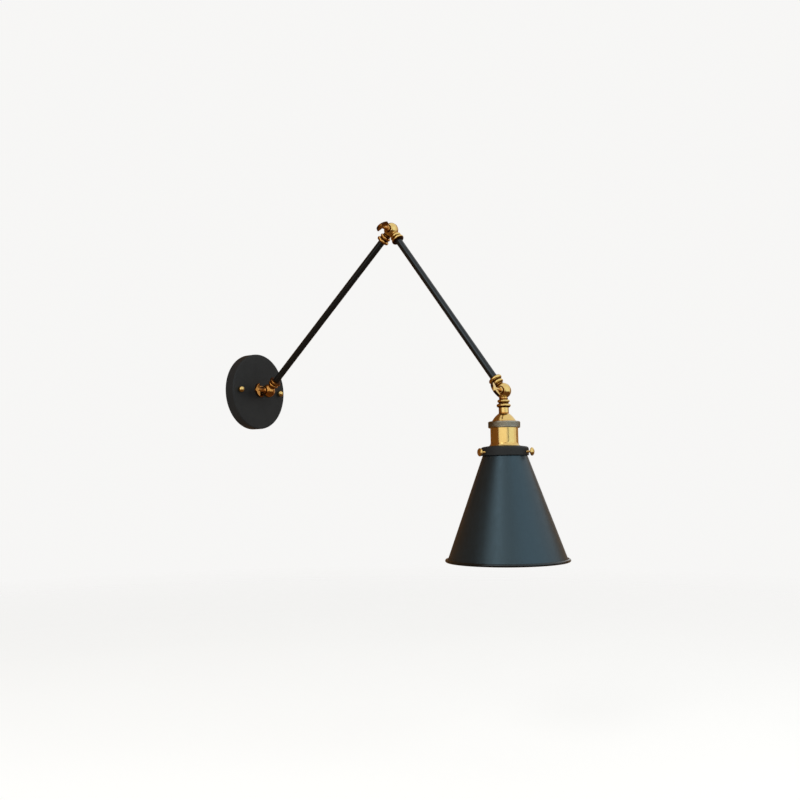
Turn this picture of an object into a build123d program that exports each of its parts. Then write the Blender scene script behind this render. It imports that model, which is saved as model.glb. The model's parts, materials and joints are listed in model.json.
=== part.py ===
from build123d import *
import os
from math import cos, radians, sin

# Swing arm wall lamp: a round wall canopy, two tubes joined by clamping knuckles and a lamp holder
# with a cone shade. Millimetres and degrees.
# The origin is the middle of the canopy's back, on the wall. The lamp reaches out along -Y, +Z is up,
# and all three knuckles hinge about X.

# Fits shared by all pieces
FIT = 0.05                      # radial play of a shaft, thread or tube in its hole
HOLE_PLAY = 0.2                 # radial play of a loose through hole

# Wall canopy, a spun steel cup with its open side on the wall
CANOPY_RADIUS = 60.0
CANOPY_DEPTH = 16.5
CANOPY_WALL = 1.2
CANOPY_EDGE = 2.0               # rounding between the face and the side

# Strap that is screwed to the wall inside the canopy
STRAP_WIDTH = 18.0
STRAP_THICKNESS = 1.5
STRAP_END_ROOM = 4.8            # from the strap's end to the canopy's inner wall
STRAP_CORNER = 3.0
WIRE_OPENING_RADIUS = 6.0
SLOT_SPACING = 60.0
SLOT_LENGTH = 14.0
SLOT_WIDTH = 5.0
EARTH_SCREW_OFFSET = 16.0
EARTH_SCREW_RADIUS = 1.75
EARTH_HEAD_RADIUS = 3.4
EARTH_HEAD_HEIGHT = 2.2
EARTH_HEAD_ROUND = 1.1

# Studs in the strap and the ball nuts that hold the canopy on them
STUD_RADIUS = 2.0
STUD_END_MARGIN = 8.0           # from the stud's axis to the strap's end
STUD_THREAD_IN_NUT = 5.0
STUD_NUT_FLATS = 7.0
STUD_NUT_HEIGHT = 3.2
BALL_NUT_RADIUS = 4.5
BALL_NUT_SEAT = 3.2             # radius of the flat that sits on the canopy

# Hollow threaded pipes at both ends of the lamp
NIPPLE_WALL = 1.6
NIPPLE_WASHER_RADIUS = 10.0
NIPPLE_WASHER_THICKNESS = 1.5
NIPPLE_NUT_FLATS = 14.0
NIPPLE_NUT_HEIGHT = 3.5
NIPPLE_END = 1.5                # thread left showing past its nut or seat

# Knuckle half: a half ball on a beaded stem, hollow for the wires
BALL_RADIUS = 10.0
BALL_GAP = 0.3                  # between the flats of the two half balls
BALL_RELIEF = 0.5               # room round a half ball for the other half's stem
STEM_LENGTH = 22.6              # hinge axis to stem end
STEM_LIP = 0.4
STEM_RADIUS = 6.6
NECK_RADIUS = 6.2
OUTER_BEAD_RADIUS = 9.4
OUTER_BEAD_THICKNESS = 4.8
INNER_BEAD_RADIUS = 8.2
INNER_BEAD_THICKNESS = 4.0
BEAD_SPACE = 1.5
SOCKET_DEPTH = 8.0
WALL_STEM_LENGTH = 18.5         # shorter stem on the canopy, with the outer bead only
WALL_SOCKET_DEPTH = 7.0
WIRE_HOLE_RADIUS = 2.6
WIRE_TRACK_INNER = 4.2          # ring-shaped wire track in the flat of each half ball
WIRE_TRACK_OUTER = 7.2
WIRE_TRACK_DEPTH = 2.6
POLE_RECESS_RADIUS = 5.8
POLE_RECESS_FLOOR = 6.6         # hinge plane to the floor of the recess at the ball's pole

# Wing screw that clamps a knuckle
SCREW_RADIUS = 2.5
SCREW_TIP = 0.7                 # thread end past the far recess floor
SCREW_SEAT_GAP = 0.1
SCREW_COLLAR_RADIUS = 4.6
SCREW_COLLAR_HEIGHT = 5.2
SCREW_NECK_RADIUS = 2.9
SCREW_NECK_LENGTH = 8.9
WING_LENGTH = 18.6
WING_WIDTH = 7.0
WING_HOLLOW = 0.8               # how far the wing's inner edge is drawn in
WING_THICKNESS = 3.0
WING_TIP_ROUND = 1.3
WING_EDGE_ROUND = 0.8
WALL_WING_ANGLE = 93.0          # lie of each wing, from straight out of the wall towards up
ELBOW_WING_ANGLE = 25.0
LAMP_WING_ANGLE = -51.0

# Arms
TUBE_RADIUS = 5.0
TUBE_WALL = 1.0
LOWER_ARM_LENGTH = 324.8        # hinge to hinge
UPPER_ARM_LENGTH = 305.0
LOWER_ARM_RISE = 42.9           # above level
UPPER_ARM_FALL = 55.0           # below level

# Lamp holder
CAP_NECK_RADIUS = 6.7
CAP_NECK_HEIGHT = 7.6
CAP_DOME_RADIUS = 16.2
CAP_DOME_HEIGHT = 10.9
CAP_DOME_BULGE = 0.9            # how far the dome swells past a straight cone
CAP_WALL = 0.9
CAP_SKIRT_RADIUS = 17.0
CAP_SKIRT_HEIGHT = 6.4
RING_RADIUS = 21.2
RING_HEIGHT = 8.5
RING_CHAMFER = 0.8
HOLDER_SHELL_RADIUS = 18.4
HOLDER_SHELL_WALL = 0.7
HOLDER_SHELL_HEIGHT = 25.9
HOLDER_FOOT_RADIUS = 20.7
HOLDER_FOOT_HEIGHT = 5.0
CORE_PLAY = 0.4
CORE_HEIGHT = 7.0
CORE_WIRE_RADIUS = 1.8
CORE_WIRE_OFFSET = 11.0
TERMINAL_SCREW_RADIUS = 1.5
TERMINAL_SCREW_DEPTH = 4.0
TERMINAL_SCREW_OFFSET = 11.0
TERMINAL_HEAD_RADIUS = 2.6
TERMINAL_HEAD_HEIGHT = 1.8
TERMINAL_SLOT = 0.7
SLEEVE_RADIUS = 16.4
SLEEVE_WALL = 2.0
SLEEVE_FLANGE = 2.0
SLEEVE_PAST_FITTER = 2.2        # how far the sleeve reaches below the fitter's skirt
SOCKET_RADIUS = 13.25           # E27 thread, at its crests
SOCKET_WALL = 0.5
SOCKET_LENGTH = 26.0
SOCKET_FLOOR_HOLE = 6.5
CONTACT_POCKET_DEPTH = 4.4      # hollow in the core, behind the socket's floor hole
TONGUE_WIDTH = 5.0
TONGUE_END_ROOM = 1.5           # from the tongue's corners to the pocket's wall, along its length
TONGUE_THICKNESS = 0.5
TONGUE_TIP_DROP = 0.2           # how far the tongue's tip stays inside the pocket

# Shade and the cup that carries it
FITTER_RADIUS = 31.6
FITTER_HEIGHT = 12.75
FITTER_WALL = 1.0
FITTER_DROP = 1.6               # fall of the fitter's top from foot to shoulder
FITTER_SHOULDER = 3.5
SHADE_RING_WIDTH = 4.0
SHADE_RING_HEIGHT = 4.0
SHADE_RING_NOTCHES = 6
SHADE_RING_NOTCH = 1.2
SHADE_TOP_RADIUS = 29.6
SHADE_BOTTOM_RADIUS = 78.2
SHADE_HEIGHT = 134.1
SHADE_WALL = 0.8
SHADE_SEAM = 0.4                # shadow line between fitter and shade
SHADE_NECK_PLAY = 3.2           # from the fitter's inner wall to the shade's neck
SHADE_LIP = 0.9                 # how far the neck's top edge turns out
RIM_RADIUS = 1.7                # rolled bottom edge
THUMB_SCREW_COUNT = 3
THUMB_SCREW_RISE = 4.2          # above the fitter's lower edge
THUMB_SHAFT_RADIUS = 1.5
THUMB_TIP_GAP = 0.3
THUMB_SHAFT_SHOWING = 5.0       # from the fitter to the collar
THUMB_COLLAR_RADIUS = 2.6
THUMB_COLLAR_HEIGHT = 1.6
THUMB_HEAD_RADIUS = 5.4
THUMB_HEAD_EDGE = 1.4
THUMB_HEAD_HEIGHT = 3.6

# Places that follow from the sizes above
BORE_RADIUS = TUBE_RADIUS + FIT
STRAP_HALF = CANOPY_RADIUS - CANOPY_WALL - STRAP_END_ROOM
STUD_OFFSET = STRAP_HALF - STUD_END_MARGIN
OUTER_BEAD_PLACE = STEM_LENGTH - STEM_LIP - OUTER_BEAD_THICKNESS / 2
INNER_BEAD_PLACE = OUTER_BEAD_PLACE - (OUTER_BEAD_THICKNESS + INNER_BEAD_THICKNESS) / 2 - BEAD_SPACE
WALL_BEAD_PLACE = WALL_STEM_LENGTH - STEM_LIP - OUTER_BEAD_THICKNESS / 2
HINGE_PLANE_OFFSET = BALL_GAP / 2
RISE = radians(LOWER_ARM_RISE)
FALL = radians(UPPER_ARM_FALL)
LOWER_ARM_WAY = Vector(0, -cos(RISE), sin(RISE))
UPPER_ARM_WAY = Vector(0, -cos(FALL), -sin(FALL))
WALL_HINGE = Vector(0, -CANOPY_DEPTH - WALL_STEM_LENGTH, 0)
ELBOW_HINGE = WALL_HINGE + LOWER_ARM_WAY * LOWER_ARM_LENGTH
LAMP_HINGE = ELBOW_HINGE + UPPER_ARM_WAY * UPPER_ARM_LENGTH

# Heights in the lamp head, measured down from the lamp hinge
CAP_TOP = STEM_LENGTH
DOME_TOP = CAP_TOP + CAP_NECK_HEIGHT
RING_TOP = DOME_TOP + CAP_DOME_HEIGHT
CORE_TOP = RING_TOP + CAP_SKIRT_HEIGHT
CORE_FLOOR = CORE_TOP + CORE_HEIGHT
FITTER_TOP = CORE_TOP + HOLDER_SHELL_HEIGHT
FITTER_PLATE = FITTER_TOP + FITTER_WALL
FITTER_EDGE = FITTER_TOP + FITTER_HEIGHT
SHADE_TOP = FITTER_EDGE + SHADE_SEAM
SHADE_BOTTOM = SHADE_TOP + SHADE_HEIGHT
THUMB_SCREW_PLACE = FITTER_EDGE - THUMB_SCREW_RISE
SHADE_NECK_RADIUS = FITTER_RADIUS - FITTER_WALL - SHADE_NECK_PLAY

# Each frame's local Z runs along the axis of the pieces that are turned about it
WALL_FRAME = Plane(origin=(0, 0, 0), x_dir=(1, 0, 0), z_dir=(0, -1, 0))
HEAD_FRAME = Plane(origin=LAMP_HINGE, x_dir=(1, 0, 0), z_dir=(0, 0, -1))


def turned(profile):
    """Solid made by turning a flat (radius, height) profile about the Z axis."""
    return revolve(Plane.XZ * profile, Axis.Z)


def outline(*points):
    """Flat face inside straight lines from point to point."""
    return make_face(Polyline(*points, close=True))


def rod(radius, bottom, top):
    """Round bar on the Z axis."""
    return Pos(0, 0, bottom) * Cylinder(radius, top - bottom, align=(Align.CENTER, Align.CENTER, Align.MIN))


def pipe(radius, bore, bottom, top):
    """Round tube on the Z axis."""
    return rod(radius, bottom, top) - rod(bore, bottom, top)


def hex_nut(flats, bore, bottom, top):
    """Six-sided nut on the Z axis."""
    hexagon = RegularPolygon(flats / 2, 6, major_radius=False)
    return extrude(Pos(0, 0, bottom) * hexagon, top - bottom) - rod(bore, bottom, top)


def mirrored_pair(piece, offset):
    """The same piece at both sides of the middle, as two solids."""
    return Pos(-offset, 0, 0) * piece + Pos(offset, 0, 0) * piece


# Wall base

def wall_bracket():
    """Strap with wall slots, a wire opening and threaded holes for studs and earth screw."""
    strap = RectangleRounded(2 * STRAP_HALF, STRAP_WIDTH, STRAP_CORNER)
    strap -= Circle(WIRE_OPENING_RADIUS)
    for side in (-1, 1):
        strap -= Pos(side * SLOT_SPACING / 2, 0) * SlotOverall(SLOT_LENGTH, SLOT_WIDTH)
        strap -= Pos(side * STUD_OFFSET, 0) * Circle(STUD_RADIUS + FIT)
    strap -= Pos(EARTH_SCREW_OFFSET, 0) * Circle(EARTH_SCREW_RADIUS + FIT)
    return extrude(strap, STRAP_THICKNESS)


def earth_screw():
    """Pan-head screw that stands in the strap."""
    head_top = STRAP_THICKNESS + EARTH_HEAD_HEIGHT
    screw = rod(EARTH_SCREW_RADIUS, 0, head_top)
    head = rod(EARTH_HEAD_RADIUS, STRAP_THICKNESS, head_top)
    head = fillet(head.edges().group_by(Axis.Z)[-1], EARTH_HEAD_ROUND)
    return Pos(EARTH_SCREW_OFFSET, 0, 0) * (screw + head)


def bracket_studs():
    """Two studs from the strap's back into the ball nuts."""
    return mirrored_pair(rod(STUD_RADIUS, 0, CANOPY_DEPTH + STUD_THREAD_IN_NUT), STUD_OFFSET)


def stud_lock_nuts():
    """Two nuts that lock the studs to the strap."""
    nut = hex_nut(STUD_NUT_FLATS, STUD_RADIUS + FIT, STRAP_THICKNESS, STRAP_THICKNESS + STUD_NUT_HEIGHT)
    return mirrored_pair(nut, STUD_OFFSET)


def ball_nuts():
    """Two ball nuts, each with a flat seat on the canopy and a blind thread."""
    rise = (BALL_NUT_RADIUS**2 - BALL_NUT_SEAT**2) ** 0.5
    ball = Pos(0, 0, CANOPY_DEPTH + rise) * Sphere(BALL_NUT_RADIUS)
    ball -= rod(BALL_NUT_RADIUS, 0, CANOPY_DEPTH)
    ball -= rod(STUD_RADIUS + FIT, CANOPY_DEPTH, CANOPY_DEPTH + STUD_THREAD_IN_NUT)
    return mirrored_pair(ball, STUD_OFFSET)


def canopy():
    """Cup with a rounded edge, a middle hole for the nipple and a hole for each stud."""
    body = rod(CANOPY_RADIUS, 0, CANOPY_DEPTH)
    body = fillet(body.edges().group_by(Axis.Z)[-1], CANOPY_EDGE)
    hollow = rod(CANOPY_RADIUS - CANOPY_WALL, 0, CANOPY_DEPTH - CANOPY_WALL)
    hollow = fillet(hollow.edges().group_by(Axis.Z)[-1], CANOPY_EDGE - CANOPY_WALL)
    cup = body - hollow - rod(TUBE_RADIUS + HOLE_PLAY, 0, CANOPY_DEPTH)
    for side in (-1, 1):
        cup -= Pos(side * STUD_OFFSET, 0, 0) * rod(STUD_RADIUS + HOLE_PLAY, 0, CANOPY_DEPTH)
    return cup


NIPPLE_WASHER_TOP = CANOPY_DEPTH - CANOPY_WALL
NIPPLE_NUT_TOP = NIPPLE_WASHER_TOP - NIPPLE_WASHER_THICKNESS
NIPPLE_NUT_FLOOR = NIPPLE_NUT_TOP - NIPPLE_NUT_HEIGHT


def canopy_nipple():
    """Hollow thread from the wall knuckle's socket to past the nut inside the canopy."""
    inner_end = NIPPLE_NUT_FLOOR - NIPPLE_END
    return pipe(TUBE_RADIUS, TUBE_RADIUS - NIPPLE_WALL, inner_end, CANOPY_DEPTH + WALL_SOCKET_DEPTH)


def nipple_washer():
    """Flat washer against the inside of the canopy's face."""
    return pipe(NIPPLE_WASHER_RADIUS, TUBE_RADIUS + HOLE_PLAY, NIPPLE_NUT_TOP, NIPPLE_WASHER_TOP)


def nipple_lock_nut():
    """Thin nut on the nipple."""
    return hex_nut(NIPPLE_NUT_FLATS, BORE_RADIUS, NIPPLE_NUT_FLOOR, NIPPLE_NUT_TOP)


# Knuckles

def half_ball():
    """Half ball about the X axis, with its wire track, screw hole and pole recess."""
    flat = HINGE_PLANE_OFFSET
    track = flat + WIRE_TRACK_DEPTH
    hole = SCREW_RADIUS + FIT
    rim = Vector(flat, (BALL_RADIUS**2 - flat**2) ** 0.5)
    pole = Vector((BALL_RADIUS**2 - POLE_RECESS_RADIUS**2) ** 0.5, POLE_RECESS_RADIUS)
    ball = RadiusArc(rim, pole, BALL_RADIUS)
    inside = Polyline(
        ball @ 1,
        (POLE_RECESS_FLOOR, POLE_RECESS_RADIUS),
        (POLE_RECESS_FLOOR, hole),
        (flat, hole),
        (flat, WIRE_TRACK_INNER),
        (track, WIRE_TRACK_INNER),
        (track, WIRE_TRACK_OUTER),
        (flat, WIRE_TRACK_OUTER),
        ball @ 0,
    )
    return revolve(make_face(ball + inside), Axis.X)


OUTER_BEAD = (OUTER_BEAD_RADIUS, OUTER_BEAD_THICKNESS)
INNER_BEAD = (INNER_BEAD_RADIUS, INNER_BEAD_THICKNESS)
ARM_BEADS = {INNER_BEAD_PLACE: INNER_BEAD, OUTER_BEAD_PLACE: OUTER_BEAD}
WALL_BEADS = {WALL_BEAD_PLACE: OUTER_BEAD}


def beaded_stem(length, beads):
    """Turned stem from the hinge to its end, with a round bead at each place along it."""
    start = Vector(NECK_RADIUS, 0)
    edge = Polyline((STEM_RADIUS, length), (0, length), (0, 0), start)
    for place, (radius, thickness) in beads.items():
        foot = Vector(start.X, place - thickness / 2)
        end = Vector(STEM_RADIUS, place + thickness / 2)
        edge += Line(start, foot) + ThreePointArc(foot, (radius, place), end)
        start = end
    return turned(make_face(edge + Line(start, (STEM_RADIUS, length))))


def knuckle_half(length, socket_depth, beads):
    """Half ball on the +X side of the hinge with its stem along Z, hollow for the wires."""
    flat = HINGE_PLANE_OFFSET
    relief = BALL_RADIUS + BALL_RELIEF
    other_ball = RadiusArc((-relief, 0), (0, relief), relief)
    other_edge = Polyline(other_ball @ 1, (flat, relief), (flat, 0), other_ball @ 0)
    other_side = revolve(make_face(other_ball + other_edge), Axis.X)
    own_middle = Rot(0, 90, 0) * rod((WIRE_TRACK_OUTER + BALL_RADIUS) / 2, flat, BALL_RADIUS)
    half = half_ball() + (beaded_stem(length, beads) - other_side - own_middle)
    half -= rod(WIRE_HOLE_RADIUS, WIRE_TRACK_INNER, length)
    return half - rod(BORE_RADIUS, length - socket_depth, length)


FAR_HALF = knuckle_half(STEM_LENGTH, SOCKET_DEPTH, ARM_BEADS)
NEAR_HALF = mirror(FAR_HALF, Plane.YZ)
WALL_HALF = knuckle_half(WALL_STEM_LENGTH, WALL_SOCKET_DEPTH, WALL_BEADS)


def placed_half(half, hinge, way):
    """Knuckle half at a hinge, with its stem pointing along the given way."""
    return Plane(origin=hinge, x_dir=(1, 0, 0), z_dir=way).location * half


def wing_screw(hinge, angle):
    """Screw through both half balls, with a half-moon wing on a neck outside the near one."""
    lie = Vector(0, -cos(radians(angle)), sin(radians(angle)))
    collar_floor = POLE_RECESS_FLOOR + SCREW_SEAT_GAP
    neck_floor = collar_floor + SCREW_COLLAR_HEIGHT
    wing_floor = neck_floor + SCREW_NECK_LENGTH
    tip = -POLE_RECESS_FLOOR - SCREW_TIP
    screw = rod(SCREW_RADIUS, tip, collar_floor)
    collar = rod(SCREW_COLLAR_RADIUS, collar_floor, neck_floor)
    collar = fillet(collar.edges().group_by(Axis.Z)[-1], SCREW_COLLAR_RADIUS - SCREW_NECK_RADIUS)
    wing_middle = wing_floor + (WING_HOLLOW + WING_WIDTH) / 2
    screw += collar + rod(SCREW_NECK_RADIUS, neck_floor, wing_middle)
    left = (-WING_LENGTH / 2, wing_floor)
    right = (WING_LENGTH / 2, wing_floor)
    moon = make_face(
        ThreePointArc(left, (0, wing_floor + WING_WIDTH), right)
        + ThreePointArc(right, (0, wing_floor + WING_HOLLOW), left)
    )
    moon = fillet(moon.vertices(), WING_TIP_ROUND)
    wing = extrude(Plane.XZ * moon, WING_THICKNESS / 2, both=True)
    flat_edges = wing.edges().group_by(Axis.Y)
    wing = fillet(flat_edges[0] + flat_edges[-1], WING_EDGE_ROUND)
    return Plane(origin=hinge, x_dir=lie, z_dir=(-1, 0, 0)).location * (screw + wing)


# Arms

def arm_tube(hinge, way, length):
    """Tube that ends in the sockets of the knuckle halves at both hinges."""
    inset = STEM_LENGTH - SOCKET_DEPTH
    tube = pipe(TUBE_RADIUS, TUBE_RADIUS - TUBE_WALL, inset, length - inset)
    return Plane(origin=hinge, x_dir=(1, 0, 0), z_dir=way).location * tube


# Lamp holder, each piece measured down from the lamp hinge

def head_nipple():
    """Hollow thread from the head knuckle's socket through the cap's neck."""
    return pipe(TUBE_RADIUS, TUBE_RADIUS - NIPPLE_WALL, STEM_LENGTH - SOCKET_DEPTH, DOME_TOP + NIPPLE_END)


def dome_line(offset):
    """Dome's arc from neck to ring, drawn in by an offset for its inside."""
    top = Vector(CAP_NECK_RADIUS, DOME_TOP + offset)
    foot = Vector(CAP_DOME_RADIUS - offset, RING_TOP)
    along = (foot - top).normalized()
    swell = Vector(along.Y, -along.X) * CAP_DOME_BULGE
    return ThreePointArc(top, (top + foot) * 0.5 + swell, foot)


def holder_cap():
    """Neck, dome and a skirt that goes down inside the coupling ring."""
    outer = dome_line(0)
    inner = dome_line(CAP_WALL)
    skirt_inner = CAP_DOME_RADIUS - CAP_WALL
    rim = Polyline(
        outer @ 1,
        (CAP_SKIRT_RADIUS, RING_TOP),
        (CAP_SKIRT_RADIUS, CORE_TOP),
        (skirt_inner, CORE_TOP),
        inner @ 1,
    )
    neck = Polyline(
        inner @ 0,
        (BORE_RADIUS, DOME_TOP + CAP_WALL),
        (BORE_RADIUS, CAP_TOP),
        (CAP_NECK_RADIUS, CAP_TOP),
        outer @ 0,
    )
    return turned(make_face(outer + rim + inner + neck))


def coupling_ring():
    """Ring over the cap's skirt, with a step below that holds the shell's top edge."""
    floor = RING_TOP + RING_HEIGHT
    ring = rod(RING_RADIUS, RING_TOP, floor)
    ring = chamfer(ring.edges().group_by(Axis.Z)[0] + ring.edges().group_by(Axis.Z)[-1], RING_CHAMFER)
    ring -= rod(CAP_SKIRT_RADIUS + FIT, RING_TOP, CORE_TOP)
    return ring - rod(HOLDER_SHELL_RADIUS + FIT, CORE_TOP, floor)


def holder_shell():
    """Sleeve with a flared foot and an inner lip that carries the insulating sleeve."""
    flare_top = FITTER_TOP - HOLDER_FOOT_HEIGHT
    lip = SLEEVE_RADIUS + HOLE_PLAY
    inner_radius = HOLDER_SHELL_RADIUS - HOLDER_SHELL_WALL
    foot_start = Vector(HOLDER_SHELL_RADIUS, flare_top)
    foot = Vector(HOLDER_FOOT_RADIUS, FITTER_TOP)
    flare = TangentArc(foot_start, foot, tangent=(0, 1))
    walls = Polyline(
        flare @ 1,
        (lip, FITTER_TOP),
        (lip, FITTER_TOP - HOLDER_SHELL_WALL),
        (inner_radius, FITTER_TOP - HOLDER_SHELL_WALL),
        (inner_radius, CORE_TOP),
        (HOLDER_SHELL_RADIUS, CORE_TOP),
        flare @ 0,
    )
    return turned(make_face(flare + walls))


def porcelain_core():
    """Disc between cap and sleeve, with wire holes, screw holes and a pocket for the tongue."""
    core = rod(HOLDER_SHELL_RADIUS - HOLDER_SHELL_WALL - CORE_PLAY, CORE_TOP, CORE_FLOOR)
    core -= rod(SOCKET_FLOOR_HOLE, CORE_FLOOR - CONTACT_POCKET_DEPTH, CORE_FLOOR)
    for side in (-1, 1):
        core -= Pos(0, side * CORE_WIRE_OFFSET, 0) * rod(CORE_WIRE_RADIUS, CORE_TOP, CORE_FLOOR)
        hole = rod(TERMINAL_SCREW_RADIUS + FIT, CORE_TOP, CORE_TOP + TERMINAL_SCREW_DEPTH)
        core -= Pos(side * TERMINAL_SCREW_OFFSET, 0, 0) * hole
    return core


def terminal_screws():
    """Two slotted wire screws in the top of the core."""
    head_top = CORE_TOP - TERMINAL_HEAD_HEIGHT
    screw = rod(TERMINAL_SCREW_RADIUS, head_top, CORE_TOP + TERMINAL_SCREW_DEPTH)
    screw += rod(TERMINAL_HEAD_RADIUS, head_top, CORE_TOP)
    screw -= Pos(0, 0, head_top) * Box(2 * TERMINAL_HEAD_RADIUS, TERMINAL_SLOT, TERMINAL_HEAD_HEIGHT)
    return mirrored_pair(screw, TERMINAL_SCREW_OFFSET)


def screw_shell():
    """Thin contact cup for the bulb's screw base, with a hole in its floor for the tongue."""
    cup = pipe(SOCKET_RADIUS + SOCKET_WALL, SOCKET_RADIUS, CORE_FLOOR, CORE_FLOOR + SOCKET_LENGTH)
    return cup + pipe(SOCKET_RADIUS + SOCKET_WALL, SOCKET_FLOOR_HOLE, CORE_FLOOR, CORE_FLOOR + SOCKET_WALL)


def centre_contact():
    """Tongue that lies in the core's pocket and springs towards the bulb."""
    half = (SOCKET_FLOOR_HOLE**2 - (TONGUE_WIDTH / 2) ** 2) ** 0.5 - TONGUE_END_ROOM
    near = CORE_FLOOR - CONTACT_POCKET_DEPTH
    far = CORE_FLOOR - TONGUE_TIP_DROP - TONGUE_THICKNESS
    strip = outline(
        (-half, near),
        (0, near),
        (half, far),
        (half, far + TONGUE_THICKNESS),
        (half - TONGUE_THICKNESS, far + TONGUE_THICKNESS),
        (-TONGUE_THICKNESS, near + TONGUE_THICKNESS),
        (-half, near + TONGUE_THICKNESS),
    )
    return extrude(Plane.XZ * strip, TONGUE_WIDTH / 2, both=True)


def insulating_sleeve():
    """Tube round the contact, with a flange that rests on the shell's inner lip."""
    bore = SLEEVE_RADIUS - SLEEVE_WALL
    lip_top = FITTER_TOP - HOLDER_SHELL_WALL
    flange_radius = HOLDER_SHELL_RADIUS - HOLDER_SHELL_WALL - CORE_PLAY
    tube = pipe(SLEEVE_RADIUS, bore, CORE_FLOOR, FITTER_EDGE + SLEEVE_PAST_FITTER)
    return tube + pipe(flange_radius, bore, lip_top - SLEEVE_FLANGE, lip_top)


# Shade and fitter

def shade_fitter():
    """Cup with a shallow sloping top, a round shoulder and a hole for each thumb screw."""
    hole = SLEEVE_RADIUS + HOLE_PLAY
    inner = FITTER_RADIUS - FITTER_WALL
    shoulder = FITTER_TOP + FITTER_DROP
    section = outline(
        (hole, FITTER_TOP),
        (HOLDER_FOOT_RADIUS, FITTER_TOP),
        (FITTER_RADIUS, shoulder),
        (FITTER_RADIUS, FITTER_EDGE),
        (inner, FITTER_EDGE),
        (inner, shoulder + FITTER_WALL),
        (HOLDER_FOOT_RADIUS, FITTER_PLATE),
        (hole, FITTER_PLATE),
    )
    outer_corner = section.vertices().sort_by_distance((FITTER_RADIUS, shoulder))[0]
    section = fillet(outer_corner, FITTER_SHOULDER)
    inner_corner = section.vertices().sort_by_distance((inner, shoulder + FITTER_WALL))[0]
    section = fillet(inner_corner, FITTER_SHOULDER - FITTER_WALL)
    cup = turned(section)
    for place in thumb_screw_places():
        cup -= place * rod(THUMB_SHAFT_RADIUS + FIT, SHADE_NECK_RADIUS, FITTER_RADIUS)
    return cup


def shade_ring():
    """Ring nut on the sleeve that clamps the fitter, with grip notches."""
    outer = SLEEVE_RADIUS + SHADE_RING_WIDTH
    ring = pipe(outer, SLEEVE_RADIUS + FIT, FITTER_PLATE, FITTER_PLATE + SHADE_RING_HEIGHT)
    notch = rod(SHADE_RING_NOTCH, FITTER_PLATE, FITTER_PLATE + SHADE_RING_HEIGHT)
    return ring - [place * notch for place in PolarLocations(outer, SHADE_RING_NOTCHES)]


def shade():
    """Thin cone with a lipped neck inside the fitter and a rolled bottom edge."""
    neck = SHADE_NECK_RADIUS
    inner = neck - SHADE_WALL
    lip = neck + SHADE_LIP
    slope = FITTER_DROP / (FITTER_RADIUS - FITTER_WALL - HOLDER_FOOT_RADIUS)
    inner_top = FITTER_PLATE + FIT + slope * (inner - HOLDER_FOOT_RADIUS)
    lip_top = FITTER_PLATE + FIT + slope * (lip - HOLDER_FOOT_RADIUS)
    section = outline(
        (inner, inner_top),
        (lip, lip_top),
        (lip, lip_top + SHADE_WALL),
        (neck, lip_top + SHADE_WALL),
        (neck, SHADE_TOP),
        (SHADE_TOP_RADIUS, SHADE_TOP),
        (SHADE_BOTTOM_RADIUS, SHADE_BOTTOM),
        (SHADE_BOTTOM_RADIUS - SHADE_WALL, SHADE_BOTTOM),
        (SHADE_TOP_RADIUS - SHADE_WALL, SHADE_TOP + SHADE_WALL),
        (inner, SHADE_TOP + SHADE_WALL),
    )
    rim = Pos(SHADE_BOTTOM_RADIUS + RIM_RADIUS - SHADE_WALL, SHADE_BOTTOM) * Circle(RIM_RADIUS)
    return turned(section + rim)


def thumb_screw_places():
    """Frames on the lamp's axis whose local Z runs out along each thumb screw, the front one first."""
    places = []
    for count in range(THUMB_SCREW_COUNT):
        turn = radians(90 + 360 / THUMB_SCREW_COUNT * count)
        outward = (cos(turn), sin(turn), 0)
        places.append(Plane(origin=(0, 0, THUMB_SCREW_PLACE), x_dir=(0, 0, 1), z_dir=outward).location)
    return places


def thumb_screw(place):
    """Screw through the fitter's wall, with a collar and a domed head."""
    collar = FITTER_RADIUS + THUMB_SHAFT_SHOWING
    head = collar + THUMB_COLLAR_HEIGHT
    screw = rod(THUMB_SHAFT_RADIUS, SHADE_NECK_RADIUS + THUMB_TIP_GAP, collar)
    screw += rod(THUMB_COLLAR_RADIUS, collar, head)
    top = head + THUMB_HEAD_HEIGHT
    edge = head + THUMB_HEAD_EDGE
    rise = top - edge
    curve = (THUMB_HEAD_RADIUS**2 + rise**2) / (2 * rise)
    dome = RadiusArc((THUMB_HEAD_RADIUS, edge), (0, top), -curve)
    knob = make_face(dome + Polyline(dome @ 1, (0, head), (THUMB_HEAD_RADIUS, head), dome @ 0))
    return place * (screw + turned(knob))


def on_wall(piece):
    """Moves a piece that was made about the canopy's axis to its place."""
    return WALL_FRAME.location * piece


def on_head(piece):
    """Moves a piece that was made about the lamp's axis to its place."""
    return HEAD_FRAME.location * piece


FRONT_PLACE, LEFT_PLACE, RIGHT_PLACE = thumb_screw_places()

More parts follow.
